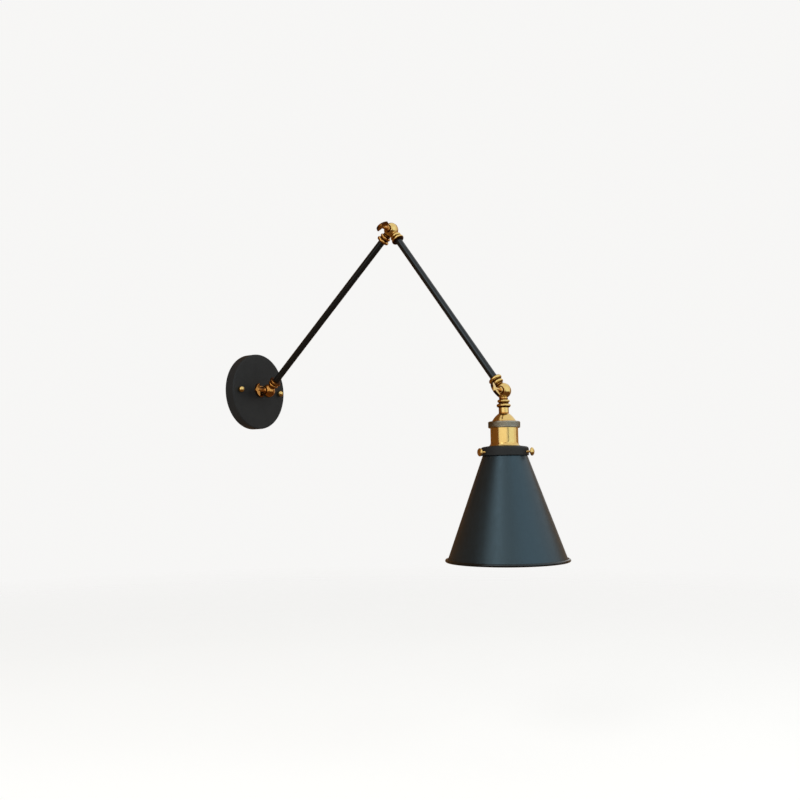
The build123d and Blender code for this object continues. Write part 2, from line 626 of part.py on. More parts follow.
NODES = {
    "wall_bracket": on_wall(wall_bracket()),
    "earth_screw": on_wall(earth_screw()),
    "bracket_studs": on_wall(bracket_studs()),
    "stud_lock_nuts": on_wall(stud_lock_nuts()),
    "ball_nuts": on_wall(ball_nuts()),
    "canopy": on_wall(canopy()),
    "canopy_nipple": on_wall(canopy_nipple()),
    "nipple_washer": on_wall(nipple_washer()),
    "nipple_lock_nut": on_wall(nipple_lock_nut()),
    "wall_knuckle": placed_half(WALL_HALF, WALL_HINGE, (0, 1, 0)),
    "wall_wing_screw": wing_screw(WALL_HINGE, WALL_WING_ANGLE),
    "lower_arm_root": placed_half(NEAR_HALF, WALL_HINGE, LOWER_ARM_WAY),
    "lower_arm_tube": arm_tube(WALL_HINGE, LOWER_ARM_WAY, LOWER_ARM_LENGTH),
    "lower_arm_tip": placed_half(FAR_HALF, ELBOW_HINGE, -LOWER_ARM_WAY),
    "elbow_wing_screw": wing_screw(ELBOW_HINGE, ELBOW_WING_ANGLE),
    "upper_arm_root": placed_half(NEAR_HALF, ELBOW_HINGE, UPPER_ARM_WAY),
    "upper_arm_tube": arm_tube(ELBOW_HINGE, UPPER_ARM_WAY, UPPER_ARM_LENGTH),
    "upper_arm_tip": placed_half(FAR_HALF, LAMP_HINGE, -UPPER_ARM_WAY),
    "lamp_wing_screw": wing_screw(LAMP_HINGE, LAMP_WING_ANGLE),
    "head_knuckle": placed_half(NEAR_HALF, LAMP_HINGE, (0, 0, -1)),
    "head_nipple": on_head(head_nipple()),
    "holder_cap": on_head(holder_cap()),
    "coupling_ring": on_head(coupling_ring()),
    "holder_shell": on_head(holder_shell()),
    "porcelain_core": on_head(porcelain_core()),
    "terminal_screws": on_head(terminal_screws()),
    "screw_shell": on_head(screw_shell()),
    "centre_contact": on_head(centre_contact()),
    "insulating_sleeve": on_head(insulating_sleeve()),
    "shade_fitter": on_head(shade_fitter()),
    "shade_ring": on_head(shade_ring()),
    "shade": on_head(shade()),
    "front_thumb_screw": on_head(thumb_screw(FRONT_PLACE)),
    "left_thumb_screw": on_head(thumb_screw(LEFT_PLACE)),
    "right_thumb_screw": on_head(thumb_screw(RIGHT_PLACE)),
}

os.makedirs("parts", exist_ok=True)
for name, piece in NODES.items():
    export_step(piece, f"parts/{name}.step")
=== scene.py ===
"""Dresses a swing arm wall lamp: round canopy, two tube arms on brass knuckles, lamp holder and cone shade.

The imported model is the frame, in metres: the lamp reaches out from the wall along -Y, +Z is up, and all
three knuckles hinge about X. Each class holds the sizes of one sub-assembly in millimetres and makes its
pieces in their own local frames, which the places of the joints then put into the lamp.
"""
import json
import logging
from dataclasses import dataclass
from enum import Enum
from typing import Callable

import bpy
import numpy as np
from mathutils import Matrix, Vector

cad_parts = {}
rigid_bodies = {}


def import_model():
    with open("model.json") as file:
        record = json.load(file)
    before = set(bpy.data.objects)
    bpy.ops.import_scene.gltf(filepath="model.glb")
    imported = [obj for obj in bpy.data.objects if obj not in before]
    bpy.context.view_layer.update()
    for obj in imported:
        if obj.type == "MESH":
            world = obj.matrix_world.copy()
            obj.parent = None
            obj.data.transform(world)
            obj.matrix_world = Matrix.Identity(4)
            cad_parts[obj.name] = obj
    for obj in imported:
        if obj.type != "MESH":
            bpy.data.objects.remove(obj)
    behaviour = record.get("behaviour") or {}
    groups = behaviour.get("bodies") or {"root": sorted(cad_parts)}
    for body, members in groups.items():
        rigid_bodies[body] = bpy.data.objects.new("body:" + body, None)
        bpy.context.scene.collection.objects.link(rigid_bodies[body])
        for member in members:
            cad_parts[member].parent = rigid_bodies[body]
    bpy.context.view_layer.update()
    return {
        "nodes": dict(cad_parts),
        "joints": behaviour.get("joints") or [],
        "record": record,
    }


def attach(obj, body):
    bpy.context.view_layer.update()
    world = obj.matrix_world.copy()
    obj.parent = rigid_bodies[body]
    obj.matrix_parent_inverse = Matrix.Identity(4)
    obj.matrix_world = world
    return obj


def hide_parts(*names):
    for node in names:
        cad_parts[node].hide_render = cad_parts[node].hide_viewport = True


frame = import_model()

Array = np.ndarray
Colour = tuple[float, float, float]
Corner = tuple[float, float, float]     # radius, height and rounding
Spot = tuple[float, float, float]       # x, y and z
Ripple = Callable[[Array, Array, Array], Array]
Socket = bpy.types.NodeSocket

LOG = logging.getLogger("wall_lamp")
MM = 0.001
SHARP_ANGLE = 38.0                      # degrees between faces at which an edge shades sharp
EDGE_SUPPORT = 0.15                     # from a rounded corner to the row that keeps its neighbour flat
SUPPORTED_RUN = 6 * EDGE_SUPPORT        # longest run without such rows
ROUNDING_SHARE = 0.49                   # most of a run that the rounding at one of its ends takes
RECESS_REACHES = (0.7, 1.8)             # how far along a profile a hollow is looked for
RECESS_FULL = 0.55                      # hollow depth that holds the darkest patina
DIRT_RAMP = (0.1, 1.0)                  # recess at which dirt begins, and at which it is full
ROWS_PER_PITCH = 6                      # rows of a profile on one turn of a thread
KNURL_FADE = 0.3                        # run-out at each end of a knurl
NUT_COLUMNS = 96                        # points round a nut
NUT_RIM = 1.03                          # radius of a nut's turned face, over half its width
NUT_FALL = 0.6                          # drop of a nut's corners for each millimetre outwards
FIT = 0.05                              # play between a screw, pipe or neck and its seat
NEAR = 0.05                             # distance at which a point counts as on a wall
CUT_ROOM = 1.0                          # how far a cutting tool reaches past what it cuts
ON_AXIS = 1e-6                          # radius below which a point lies on the axis
TINY = 1e-9                             # keeps a division by nothing from failing

ACROSS = Vector((1, 0, 0))
OUT = Vector((0, -1, 0))
DOWN = Vector((0, 0, -1))
BODY_OF = {node: body for body, nodes in frame["record"]["behaviour"]["bodies"].items() for node in nodes}
JOINT_AT = {joint["name"]: Vector(joint["pos_m"]) / MM for joint in frame["joints"]}
WALL_HINGE = JOINT_AT["wall_knuckle_tilt"]
ELBOW_HINGE = JOINT_AT["elbow_fold"]
LAMP_HINGE = JOINT_AT["lamp_tilt"]
LOWER_WAY = (ELBOW_HINGE - WALL_HINGE).normalized()
UPPER_WAY = (LAMP_HINGE - ELBOW_HINGE).normalized()


class Edge(float, Enum):
    """Roundings of edges in millimetres, from barely broken to wide."""

    FINE = 0.1
    CRISP = 0.15
    PLAIN = 0.2
    EASED = 0.3
    SOFT = 0.35
    ROUND = 0.4
    FULL = 0.5
    WIDE = 0.6


@dataclass(frozen=True)
class Place:
    """Local frame of a piece: its origin in millimetres and the directions of its x and z axes."""

    origin: Vector
    x: Vector
    z: Vector

    def matrix(self) -> Matrix:
        """Matrix from local millimetres to the lamp's metres."""
        turn = Matrix((self.x, self.z.cross(self.x), self.z)).transposed().to_4x4()
        return Matrix.Scale(MM, 4) @ Matrix.Translation(self.origin) @ turn


WALL_PLACE = Place(Vector((0, 0, 0)), ACROSS, OUT)
HEAD_PLACE = Place(LAMP_HINGE, ACROSS, DOWN)


@dataclass
class Skin:
    """Closed surface: points in millimetres, faces by side count, and two values per point.

    recess is how deep a point lies in a hollow, from 0 to 1. along is the way along the turned profile.
    """

    points: Array
    faces: list[Array]
    recess: Array
    along: Array

    def moved(self, x: float) -> "Skin":
        """Same skin, shifted along x."""
        return Skin(self.points + (x, 0.0, 0.0), self.faces, self.recess, self.along)

    def swung(self) -> "Skin":
        """Same skin, swung so that its z axis lies along x."""
        return Skin(self.points[:, (2, 0, 1)], self.faces, self.recess, self.along)

    def faint(self, share: float) -> "Skin":
        """Same skin, with only a share of its patina."""
        return Skin(self.points, self.faces, self.recess * share, self.along)

    def joined(self, other: "Skin") -> "Skin":
        """Puts two skins into one.

        Args:
            other: Skin to add.

        Returns:
            Both skins as one.
        """
        count = len(self.points)
        return Skin(
            np.vstack((self.points, other.points)),
            self.faces + [face + count for face in other.faces],
            np.concatenate((self.recess, other.recess)),
            np.concatenate((self.along, other.along)),
        )

    def mesh(self) -> bpy.types.Mesh:
        """Makes a mesh of the skin.

        Returns:
            Mesh that is still in local millimetres.
        """
        made = bpy.data.meshes.new("skin")
        faces = [face for group in self.faces for face in group.tolist()]
        made.from_pydata(self.points.tolist(), [], faces)
        store(made, "recess", self.recess)
        store(made, "along", self.along)
        return made


def store(mesh: bpy.types.Mesh, name: str, values: Array) -> None:
    """Puts one number per point into a mesh.

    Args:
        mesh: Mesh that gets the numbers.
        name: Name of the attribute.
        values: One number per point.
    """
    attribute = mesh.attributes.get(name) or mesh.attributes.new(name, "FLOAT", "POINT")
    attribute.data.foreach_set("value", values.astype(np.float32))


def with_painted_reflection(mesh: bpy.types.Mesh, least: float) -> bpy.types.Mesh:
    """Copies a mesh and lifts its stored recess to at least a given amount, as a painted reflection.

    Args:
        mesh: Mesh with a stored recess.
        least: Smallest recess that is left.

    Returns:
        The copy.
    """
    made = mesh.copy()
    recess = np.empty(len(made.vertices), np.float32)
    made.attributes["recess"].data.foreach_get("value", recess)
    store(made, "recess", np.maximum(recess, least))
    return made


def points_of(mesh: bpy.types.Mesh) -> Array:
    """Reads the points of a mesh.

    Args:
        mesh: Mesh to read.

    Returns:
        Rows of x, y and z.
    """
    points = np.empty(len(mesh.vertices) * 3, np.float32)
    mesh.vertices.foreach_get("co", points)
    return points.reshape(-1, 3).astype(float)


def arc(centre: tuple[float, float], radius: float, start: float, stop: float, steps: int) -> list[Corner]:
    """Corners along an arc: centre + radius (cos a, sin a).

    Args:
        centre: Radius and height of the arc's centre.
        radius: Radius of the arc.
        start: First angle a in degrees.
        stop: Last angle a in degrees.
        steps: Number of runs.

    Returns:
        Corners with no rounding.
    """
    turns = np.radians(np.linspace(start, stop, steps + 1))
    return [(centre[0] + radius * np.cos(a), centre[1] + radius * np.sin(a), 0.0) for a in turns]


def arc_through(first: tuple, middle: tuple, last: tuple, steps: int) -> list[Corner]:
    """Corners along the arc through three points, whose centre is equally far from all three.

    Args:
        first: Radius and height of the arc's start.
        middle: Any point on the way.
        last: Radius and height of the arc's end.
        steps: Number of runs.

    Returns:
        Corners with no rounding.
    """
    a, b, c = (np.array(point, float) for point in (first, middle, last))
    centre = np.linalg.solve(2 * np.array([b - a, c - a]), [b @ b - a @ a, c @ c - a @ a])
    angles = [np.degrees(np.arctan2(*(point - centre)[::-1])) for point in (a, b, c)]
    angles = np.degrees(np.unwrap(np.radians(angles)))
    return arc(tuple(centre), float(np.linalg.norm(a - centre)), angles[0], angles[2], steps)


def rounded(corners: list[Corner], steps: int = 6) -> Array:
    """Profile through corners, each replaced by an arc that is tangent to both of its sides.

    An arc of radius q in a corner with half angle h starts q / tan h from it. Long runs get a row near
    each end, which keeps them flat or straight beside a rounding. A profile that starts on the axis is
    left open along it.

    Args:
        corners: Radius, height and rounding of each corner, in order round the profile.
        steps: Runs in each arc.

    Returns:
        Rows of radius and height.
    """
    line: list[Array] = []
    spots = [np.array(corner[:2], float) for corner in corners]
    for count, (spot, corner) in enumerate(zip(spots, corners)):
        if corner[2] == 0:
            line.append(spot)
            continue
        back = spots[count - 1] - spot
        ahead = spots[(count + 1) % len(spots)] - spot
        back_length, ahead_length = np.linalg.norm(back), np.linalg.norm(ahead)
        back, ahead = back / back_length, ahead / ahead_length
        half = np.arccos(np.clip(back @ ahead, -1, 1)) / 2
        reach = min(corner[2] / np.tan(half), ROUNDING_SHARE * back_length, ROUNDING_SHARE * ahead_length)
        centre = spot + (back + ahead) / np.linalg.norm(back + ahead) * reach / np.cos(half)
        start, stop = spot + back * reach - centre, spot + ahead * reach - centre
        swing = np.pi - 2 * half
        for share in np.linspace(0, 1, steps + 1):
            mixed = np.sin((1 - share) * swing) * start + np.sin(share * swing) * stop
            line.append(centre + mixed / np.sin(swing))
    rows: list[Array] = []
    for here, there in zip(line, line[1:] + line[:1]):
        run = there - here
        length = np.linalg.norm(run)
        rows.append(here)
        if length > SUPPORTED_RUN:
            rows += [here + run * EDGE_SUPPORT / length, there - run * EDGE_SUPPORT / length]
    closing = 2 if corners[0][0] == 0 and np.linalg.norm(line[0] - line[-1]) > SUPPORTED_RUN else 0
    return np.array(rows[:len(rows) - closing])


def finer(profile: Array, step: float, low: float, high: float) -> Array:
    """Profile with more rows on its runs between two heights, as a thread or a knurl needs.

    Args:
        profile: Rows of radius and height.
        step: Longest run to leave.
        low: Lowest height of the stretch.
        high: Highest height of the stretch.

    Returns:
        The profile with the added rows.
    """
    rows: list[Array] = []
    for here, there in zip(profile, np.roll(profile, -1, 0)):
        inside = max(here[1], there[1]) > low and min(here[1], there[1]) < high
        count = max(int(np.ceil(np.linalg.norm(there - here) / step)), 1) if inside else 1
        rows.append(here + (there - here) * (np.arange(count)[:, None] / count))
    return np.vstack(rows)


def hollows(profile: Array, closed: bool) -> tuple[Array, Array]:
    """How deep each row of a profile lies in a hollow, and its way along the profile.

    Points at the same distance to both sides have a middle; where that lies outside the surface by d, the
    row is in a hollow of depth d. The value is d over the full depth, from 0 to 1.

    Args:
        profile: Rows of radius and height, with the solid on the left.
        closed: Whether the last row runs on to the first.

    Returns:
        Recess and length along the profile, one number per row each.
    """
    ring = np.vstack((profile, profile[:1])) if closed else profile
    lengths = np.concatenate(([0.0], np.cumsum(np.linalg.norm(np.diff(ring, axis=0), axis=1))))
    along = lengths[:len(profile)]
    period = lengths[-1] if closed else None
    depth = np.zeros(len(profile))
    for reach in RECESS_REACHES:
        before, after = (
            np.stack([np.interp(along + shift, along, profile[:, k], period=period) for k in (0, 1)], 1)
            for shift in (-reach, reach)
        )
        travel = after - before
        outward = np.stack((travel[:, 1], -travel[:, 0]), 1)
        outward /= np.maximum(np.linalg.norm(outward, axis=1, keepdims=True), TINY)
        middle = (before + after) / 2
        depth = np.maximum(depth, np.sum((middle - profile) * outward, axis=1))
    return np.clip(depth / RECESS_FULL, 0, 1), along


def grid_faces(index: Array, closed: bool) -> Array:
    """Four-sided faces of a grid of points whose columns run on from last to first.

    Args:
        index: Number of the point at each row and column.
        closed: Whether the last row runs on to the first too.

    Returns:
        Four point numbers for each face.
    """
    here, below = (index, np.roll(index, -1, 0)) if closed else (index[:-1], index[1:])
    return np.stack((here, np.roll(here, -1, 1), np.roll(below, -1, 1), below), 2).reshape(-1, 4)


def turned_over(faces: Array) -> Array:
    """Turns four-sided faces so that they look the other way.

    Args:
        faces: Four point numbers for each face.

    Returns:
        The same faces, turned over.
    """
    return faces[:, (0, 3, 2, 1)]


def turned(radius: Array, height: Array, recess: Array, along: Array) -> Skin:
    """Surface of revolution of a grid: row i, column j is (r cos t, r sin t, z), t = 2 pi j / columns.

    Columns run on round the axis. Rows run on from last to first, unless the first and last rows lie on
    the axis, where a single point closes each end.

    Args:
        radius: Radius at each row and column.
        height: Height at each row and column.
        recess: Recess at each row and column.
        along: Way along the profile at each row and column.

    Returns:
        The closed skin.
    """
    rows, columns = radius.shape
    turn = 2 * np.pi * np.arange(columns) / columns
    points = np.stack((radius * np.cos(turn), radius * np.sin(turn), height), 2)
    index = np.arange(rows * columns).reshape(rows, columns)
    if np.any(radius[0] >= ON_AXIS) or np.any(radius[-1] >= ON_AXIS):
        return Skin(points.reshape(-1, 3), [grid_faces(index, True)], recess.ravel(), along.ravel())
    body = index[1:-1] - columns + 1
    last = (rows - 2) * columns + 1
    first_fan = np.stack((np.zeros(columns, int), np.roll(body[0], -1), body[0]), 1)
    last_fan = np.stack((body[-1], np.roll(body[-1], -1), np.full(columns, last)), 1)
    kept = [points[:1, 0], points[1:-1].reshape(-1, 3), points[-1:, 0]]
    values = [np.concatenate((v[:1, 0], v[1:-1].ravel(), v[-1:, 0])) for v in (recess, along)]
    return Skin(np.vstack(kept), [grid_faces(body, False), first_fan, last_fan], *values)


def lathe(profile: Array, turns: int, ripple: Ripple | None = None) -> Skin:
    """Turns a profile about the z axis, with a ripple added to its radius.

    Args:
        profile: Rows of radius and height. It is turned round if its solid isn't on the left.
        turns: Number of columns round the axis.
        ripple: Radius to add, as a function of angle, radius and height.

    Returns:
        The closed skin.
    """
    ahead = np.roll(profile, -1, 0)
    if np.sum(profile[:, 0] * ahead[:, 1] - ahead[:, 0] * profile[:, 1]) < 0:
        profile = profile[::-1]
    closed = profile[0, 0] > ON_AXIS or profile[-1, 0] > ON_AXIS
    recess, along = hollows(profile, closed)
    turn = 2 * np.pi * np.arange(turns)[None, :] / turns
    radius, height, recess, along = (
        np.repeat(values[:, None], turns, 1) for values in (profile[:, 0], profile[:, 1], recess, along)
    )
    if ripple:
        added = ripple(turn, radius, height)
        depth = max(float(np.ptp(added)), TINY)
        recess = np.maximum(recess, (added.max() - added) / depth * (added != 0))
        radius = radius + added
    return turned(radius, height, recess, along)


def faded(height: Array, start: float, stop: float, fade: float) -> Array:
    """Weight that is 1 between two heights and falls to 0 inside each end.

    Args:
        height: Heights to weigh.
        start: Height where it begins.
        stop: Height where it ends.
        fade: Length of the fall at each end.

    Returns:
        Weight at each height.
    """
    return np.clip((height - start) / fade, 0, 1) * np.clip((stop - height) / fade, 0, 1)


def on_wall(radius: Array, wall: float, reach: float) -> Array:
    """Tells which points lie on a wall.

    Args:
        radius: Radius of each point.
        wall: Radius of the wall.
        reach: How far inside that radius a point may lie.

    Returns:
        True for each point near the wall or inside it by no more than the reach.
    """
    return (radius > wall - reach - NEAR) & (radius < wall + NEAR)


def thread(pitch: float, depth: float, start: float, stop: float, wall: float, reach: float = 0.0) -> Ripple:
    """Right-hand screw thread: the radius falls by depth (1 - cos(2 pi z / pitch - t)) / 2.

    Args:
        pitch: Rise of one turn.
        depth: Depth of the thread, below zero for one that swells outwards.
        start: Height where it begins.
        stop: Height where it ends.
        wall: Radius of the wall that carries it.
        reach: How far inside that radius another wall carries it too.

    Returns:
        The ripple for a lathe.
    """

    def cut(turn: Array, radius: Array, height: Array) -> Array:
        """Radius to add at an angle, radius and height."""
        wave = 0.5 - 0.5 * np.cos(2 * np.pi * height / pitch - turn)
        return -depth * wave * on_wall(radius, wall, reach) * faded(height, start, stop, pitch / 2)

    return cut


def knurl(teeth: int, depth: float, start: float, stop: float, wall: float) -> Ripple:
    """Straight knurl: the radius falls by depth |2 u - 1|, u being the share of the way over a tooth.

    Args:
        teeth: Teeth round the rim.
        depth: Depth of the valleys.
        start: Height where it begins.
        stop: Height where it ends.
        wall: Radius of the wall that carries it.

    Returns:
        The ripple for a lathe.
    """

    def cut(turn: Array, radius: Array, height: Array) -> Array:
        """Radius to add at an angle, radius and height."""
        wave = np.abs(2 * ((turn * teeth / (2 * np.pi)) % 1.0) - 1)
        return -depth * wave * on_wall(radius, wall, 0.0) * faded(height, start, stop, KNURL_FADE)

    return cut


def notches(count: int, notch: float, wall: float, reach: float) -> Ripple:
    """Round notches: the radius falls by the chord height of a circle of that radius on the rim.

    Args:
        count: Notches round the rim.
        notch: Radius of each.
        wall: Radius of the wall that carries them.
        reach: How far inside that radius they cut too.

    Returns:
        The ripple for a lathe.
    """

    def cut(turn: Array, radius: Array, height: Array) -> Array:
        """Works out the notches on a grid.

        Args:
            turn: Angle of each column.
            radius: Radius at each row and column.
            height: Height at each row and column; not used.

        Returns:
            Radius to add at each row and column.
        """
        fold = (turn + np.pi / count) % (2 * np.pi / count) - np.pi / count
        chord = np.sqrt(np.clip(notch**2 - (radius * np.sin(fold)) ** 2, 0, None))
        return -chord * on_wall(radius, wall, reach)

    return cut


def together(first: Ripple, second: Ripple) -> Ripple:
    """Adds two ripples that lie on different walls of one profile.

    Args:
        first: One ripple.
        second: The other ripple.

    Returns:
        The ripple for a lathe.
    """
    return lambda turn, radius, height: first(turn, radius, height) + second(turn, radius, height)


def hex_nut(flats: float, bore: float, bottom: float, top: float) -> Skin:
    """Nut whose radius at angle t is (flats / 2) / cos(t folded into 30 degrees), with turned corners.

    Args:
        flats: Width across flats.
        bore: Radius of the hole.
        bottom: Lower height.
        top: Upper height.

    Returns:
        The closed skin.
    """
    turn = 2 * np.pi * np.arange(NUT_COLUMNS) / NUT_COLUMNS
    side = flats / 2 / np.cos((turn + np.pi / 6) % (np.pi / 3) - np.pi / 6)
    rim = np.minimum(side, flats / 2 * NUT_RIM)
    fall = (side - rim) * NUT_FALL
    hole, flat = np.full_like(turn, bore), np.zeros_like(turn)
    radius = np.stack((hole, rim, side, side, rim, hole))
    height = np.stack((flat + bottom, flat + bottom, bottom + fall, top - fall, flat + top, flat + top))
    still = np.zeros_like(radius)
    return turned(radius, height, still, still)


class Cut(Enum):
    """How a tool body changes a base body."""

    JOIN = "UNION"
    REMOVE = "DIFFERENCE"


def carve(base: bpy.types.Mesh, tool: bpy.types.Mesh, cut: Cut) -> bpy.types.Mesh:
    """Joins two closed bodies, or takes one from the other.

    Args:
        base: Body that is changed.
        tool: Body that is added or taken away.
        cut: Which of the two is done.

    Returns:
        Mesh of the result.
    """
    shown = bpy.context.scene.collection.objects
    body, cutter = (bpy.data.objects.new(mesh.name, mesh) for mesh in (base, tool))
    shown.link(body)
    shown.link(cutter)
    step = body.modifiers.new("cut", "BOOLEAN")
    step.operation = cut.value
    step.solver = "EXACT"
    step.object = cutter
    bpy.context.view_layer.update()
    made = bpy.data.meshes.new_from_object(body.evaluated_get(bpy.context.evaluated_depsgraph_get()))
    bpy.data.objects.remove(body)
    bpy.data.objects.remove(cutter)
    return made


class Join(Enum):
    """How two numbers of a material become one."""

    SUM = "ADD"
    LARGER = "MAXIMUM"


class Graph:
    """Nodes of one material or world, with short ways to add the patterns that the finishes share."""

    def __init__(self, owner: bpy.types.Material | bpy.types.World) -> None:
        """Empties the nodes.

        Args:
            owner: Material or world that the nodes belong to.
        """
        owner.use_nodes = True
        self.owner = owner
        self.tree = owner.node_tree
        self.tree.nodes.clear()

    def add(self, kind: str, settings: dict | None = None, inputs: dict | None = None) -> bpy.types.Node:
        """Adds a node.

        Args:
            kind: Blender's name for the node.
            settings: Values of its properties.
            inputs: Values of its sockets, or the sockets that feed them.

        Returns:
            The node.
        """
        node = self.tree.nodes.new(kind)
        for key, value in (settings or {}).items():
            setattr(node, key, value)
        for key, value in (inputs or {}).items():
            if isinstance(value, Socket):
                self.tree.links.new(value, node.inputs[key])
            else:
                node.inputs[key].default_value = value
        return node

    def place(self) -> Socket:
        """Object coordinates."""
        return self.add("ShaderNodeTexCoord").outputs["Object"]

    def noise(self, size: float, detail: float = 2.0) -> Socket:
        """Clouds on object coordinates, about as large as a size in millimetres."""
        inputs = {"Vector": self.place(), "Scale": 1 / (size * MM), "Detail": detail}
        return self.add("ShaderNodeTexNoise", inputs=inputs).outputs["Fac"]

    def cells(self, size: float) -> Socket:
        """Crystal grains on object coordinates, each with one grey value.

        Args:
            size: Size of a grain in millimetres.

        Returns:
            Socket with the grey values.
        """
        inputs = {"Vector": self.place(), "Scale": 1 / (size * MM)}
        colour = self.add("ShaderNodeTexVoronoi", inputs=inputs).outputs["Color"]
        return self.add("ShaderNodeRGBToBW", inputs={"Color": colour}).outputs["Val"]

    def value(self, name: str) -> Socket:
        """Number that the mesh holds for each point."""
        return self.add("ShaderNodeAttribute", {"attribute_name": name}).outputs["Fac"]

    def lines(self, pitch: float) -> Socket:
        """Turning lines: a noise of the way along the profile, with a pitch in millimetres."""
        inputs = {"W": self.value("along"), "Scale": 1 / pitch, "Detail": 2.0}
        return self.add("ShaderNodeTexNoise", {"noise_dimensions": "1D"}, inputs).outputs["Fac"]

    def ranged(self, source: Socket, low: float, high: float, start: float = 0.3,
               stop: float = 0.7) -> Socket:
        """Maps a pattern to numbers.

        Args:
            source: Pattern to map.
            low: Number at the start.
            high: Number at the stop.
            start: Pattern value for the low number.
            stop: Pattern value for the high number.

        Returns:
            Socket with the numbers.
        """
        inputs = {"Value": source, "From Min": start, "From Max": stop, "To Min": low, "To Max": high}
        return self.add("ShaderNodeMapRange", inputs=inputs).outputs["Result"]

    def math(self, join: Join, first: Socket, second: Socket) -> Socket:
        """One number made of two."""
        return self.add("ShaderNodeMath", {"operation": join.value}, {0: first, 1: second}).outputs[0]

    def mix(self, share: Socket, first: Colour | Socket, second: Colour | Socket) -> Socket:
        """Mixes two colours.

        Args:
            share: Share of the second colour.
            first: Colour where the share is 0.
            second: Colour where it is 1.

        Returns:
            Socket with the colour.
        """
        sides = [(*side, 1.0) if isinstance(side, tuple) else side for side in (first, second)]
        mixed = self.add("ShaderNodeMix", {"data_type": "RGBA"}, {0: share, 6: sides[0], 7: sides[1]})
        return mixed.outputs[2]

    def bump(self, height: Socket, depth: float, under: Socket | None = None) -> Socket:
        """Relief of a pattern.

        Args:
            height: Pattern from 0 to 1.
            depth: Height of the relief in millimetres.
            under: Relief that this one lies on.

        Returns:
            Socket with the normal.
        """
        inputs = {"Height": height, "Distance": depth * MM, "Strength": 1.0}
        if under:
            inputs["Normal"] = under
        return self.add("ShaderNodeBump", inputs=inputs).outputs["Normal"]

    def seen(self) -> Socket:
        """Tells rays that show a thing from rays that gather light.

        Returns:
            Socket with 1 for rays of the camera, of reflections and through glass, and 0 for others.
        """
        path = self.add("ShaderNodeLightPath").outputs
        mirrored = self.math(Join.LARGER, path["Is Camera Ray"], path["Is Glossy Ray"])
        return self.math(Join.LARGER, mirrored, path["Is Transmission Ray"])

    def shade(self, inputs: dict) -> bpy.types.Material:
        """Ends the material in a surface shader.

        Args:
            inputs: Values of the shader's sockets, or the sockets that feed them.

        Returns:
            The material.
        """
        shader = self.add("ShaderNodeBsdfPrincipled", inputs=inputs)
        self.add("ShaderNodeOutputMaterial", inputs={"Surface": shader.outputs[0]})
        return self.owner


@dataclass(frozen=True)
class PaintFinish:
    """Powder coat: orange peel over a finer grain, with a little cloud in colour and gloss."""

    name: str
    deep: Colour
    lift: Colour
    glossy: float
    dull: float
    mirror: float
    # specular tint; the blue of the arm and shade tints is a painted reflection of cool light
    tint: Colour
    peel_depth: float
    peel_size: float = 1.3
    grain_size: float = 0.28
    grain_share: float = 0.25
    cloud_size: float = 26.0
    gloss_size: float = 7.0

    def material(self) -> bpy.types.Material:
        """Makes this finish.

        Returns:
            Its material.
        """
        graph = Graph(bpy.data.materials.new(self.name))
        clouds = graph.ranged(graph.noise(self.cloud_size, detail=3.0), 0, 1)
        grain = graph.bump(graph.noise(self.grain_size), self.peel_depth * self.grain_share)
        return graph.shade({
            "Base Color": graph.mix(clouds, self.deep, self.lift),
            "Roughness": graph.ranged(graph.noise(self.gloss_size, detail=4.0), self.glossy, self.dull),
            "Normal": graph.bump(graph.noise(self.peel_size), self.peel_depth, grain),
            "Specular IOR Level": self.mirror,
            "Specular Tint": (*self.tint, 1.0),
        })


@dataclass(frozen=True)
class MetalFinish:
    """Turned and plated metal: cloudy plate, fine turning lines, an oxide layer and patina in its hollows.

    As the recess rises through film_ramp the oxide layer covers the plate, and through patina_ramp the
    patina covers both. Where a whole piece's recess is lifted, the orange oxide colour is a painted
    reflection.
    """

    name: str
    bright: Colour
    dull: Colour
    film_and_reflection: Colour
    patina: Colour
    polish: float
    haze: float
    line_depth: float
    patina_haze: float = 0.3
    film_ramp: tuple[float, float] = (0.05, 0.45)
    patina_ramp: tuple[float, float] = (0.35, 0.85)
    cloud_size: float = 9.0
    haze_size: float = 6.0
    line_pitch: float = 0.35
    grain_size: float = 0.5
    grain_share: float = 0.5

    def material(self) -> bpy.types.Material:
        """Makes this finish.

        Returns:
            Its material.
        """
        graph = Graph(bpy.data.materials.new(self.name))
        recess = graph.value("recess")
        hollow = graph.ranged(recess, 0, 1, *self.patina_ramp)
        clouds = graph.ranged(graph.noise(self.cloud_size, detail=3.0), 0, 1)
        plate = graph.mix(clouds, self.bright, self.dull)
        tarnished_and_reflected = graph.mix(graph.ranged(recess, 0, 1, *self.film_ramp), plate, self.film_and_reflection)
        haze = graph.ranged(graph.noise(self.haze_size), self.polish, self.haze)
        lines = graph.bump(graph.lines(self.line_pitch), self.line_depth)
        return graph.shade({
            "Base Color": graph.mix(hollow, tarnished_and_reflected, self.patina),
            "Roughness": graph.math(Join.SUM, haze, graph.ranged(hollow, 0, self.patina_haze, 0, 1)),
            "Normal": graph.bump(graph.noise(self.grain_size), self.line_depth * self.grain_share, lines),
            "Metallic": 1.0,
        })


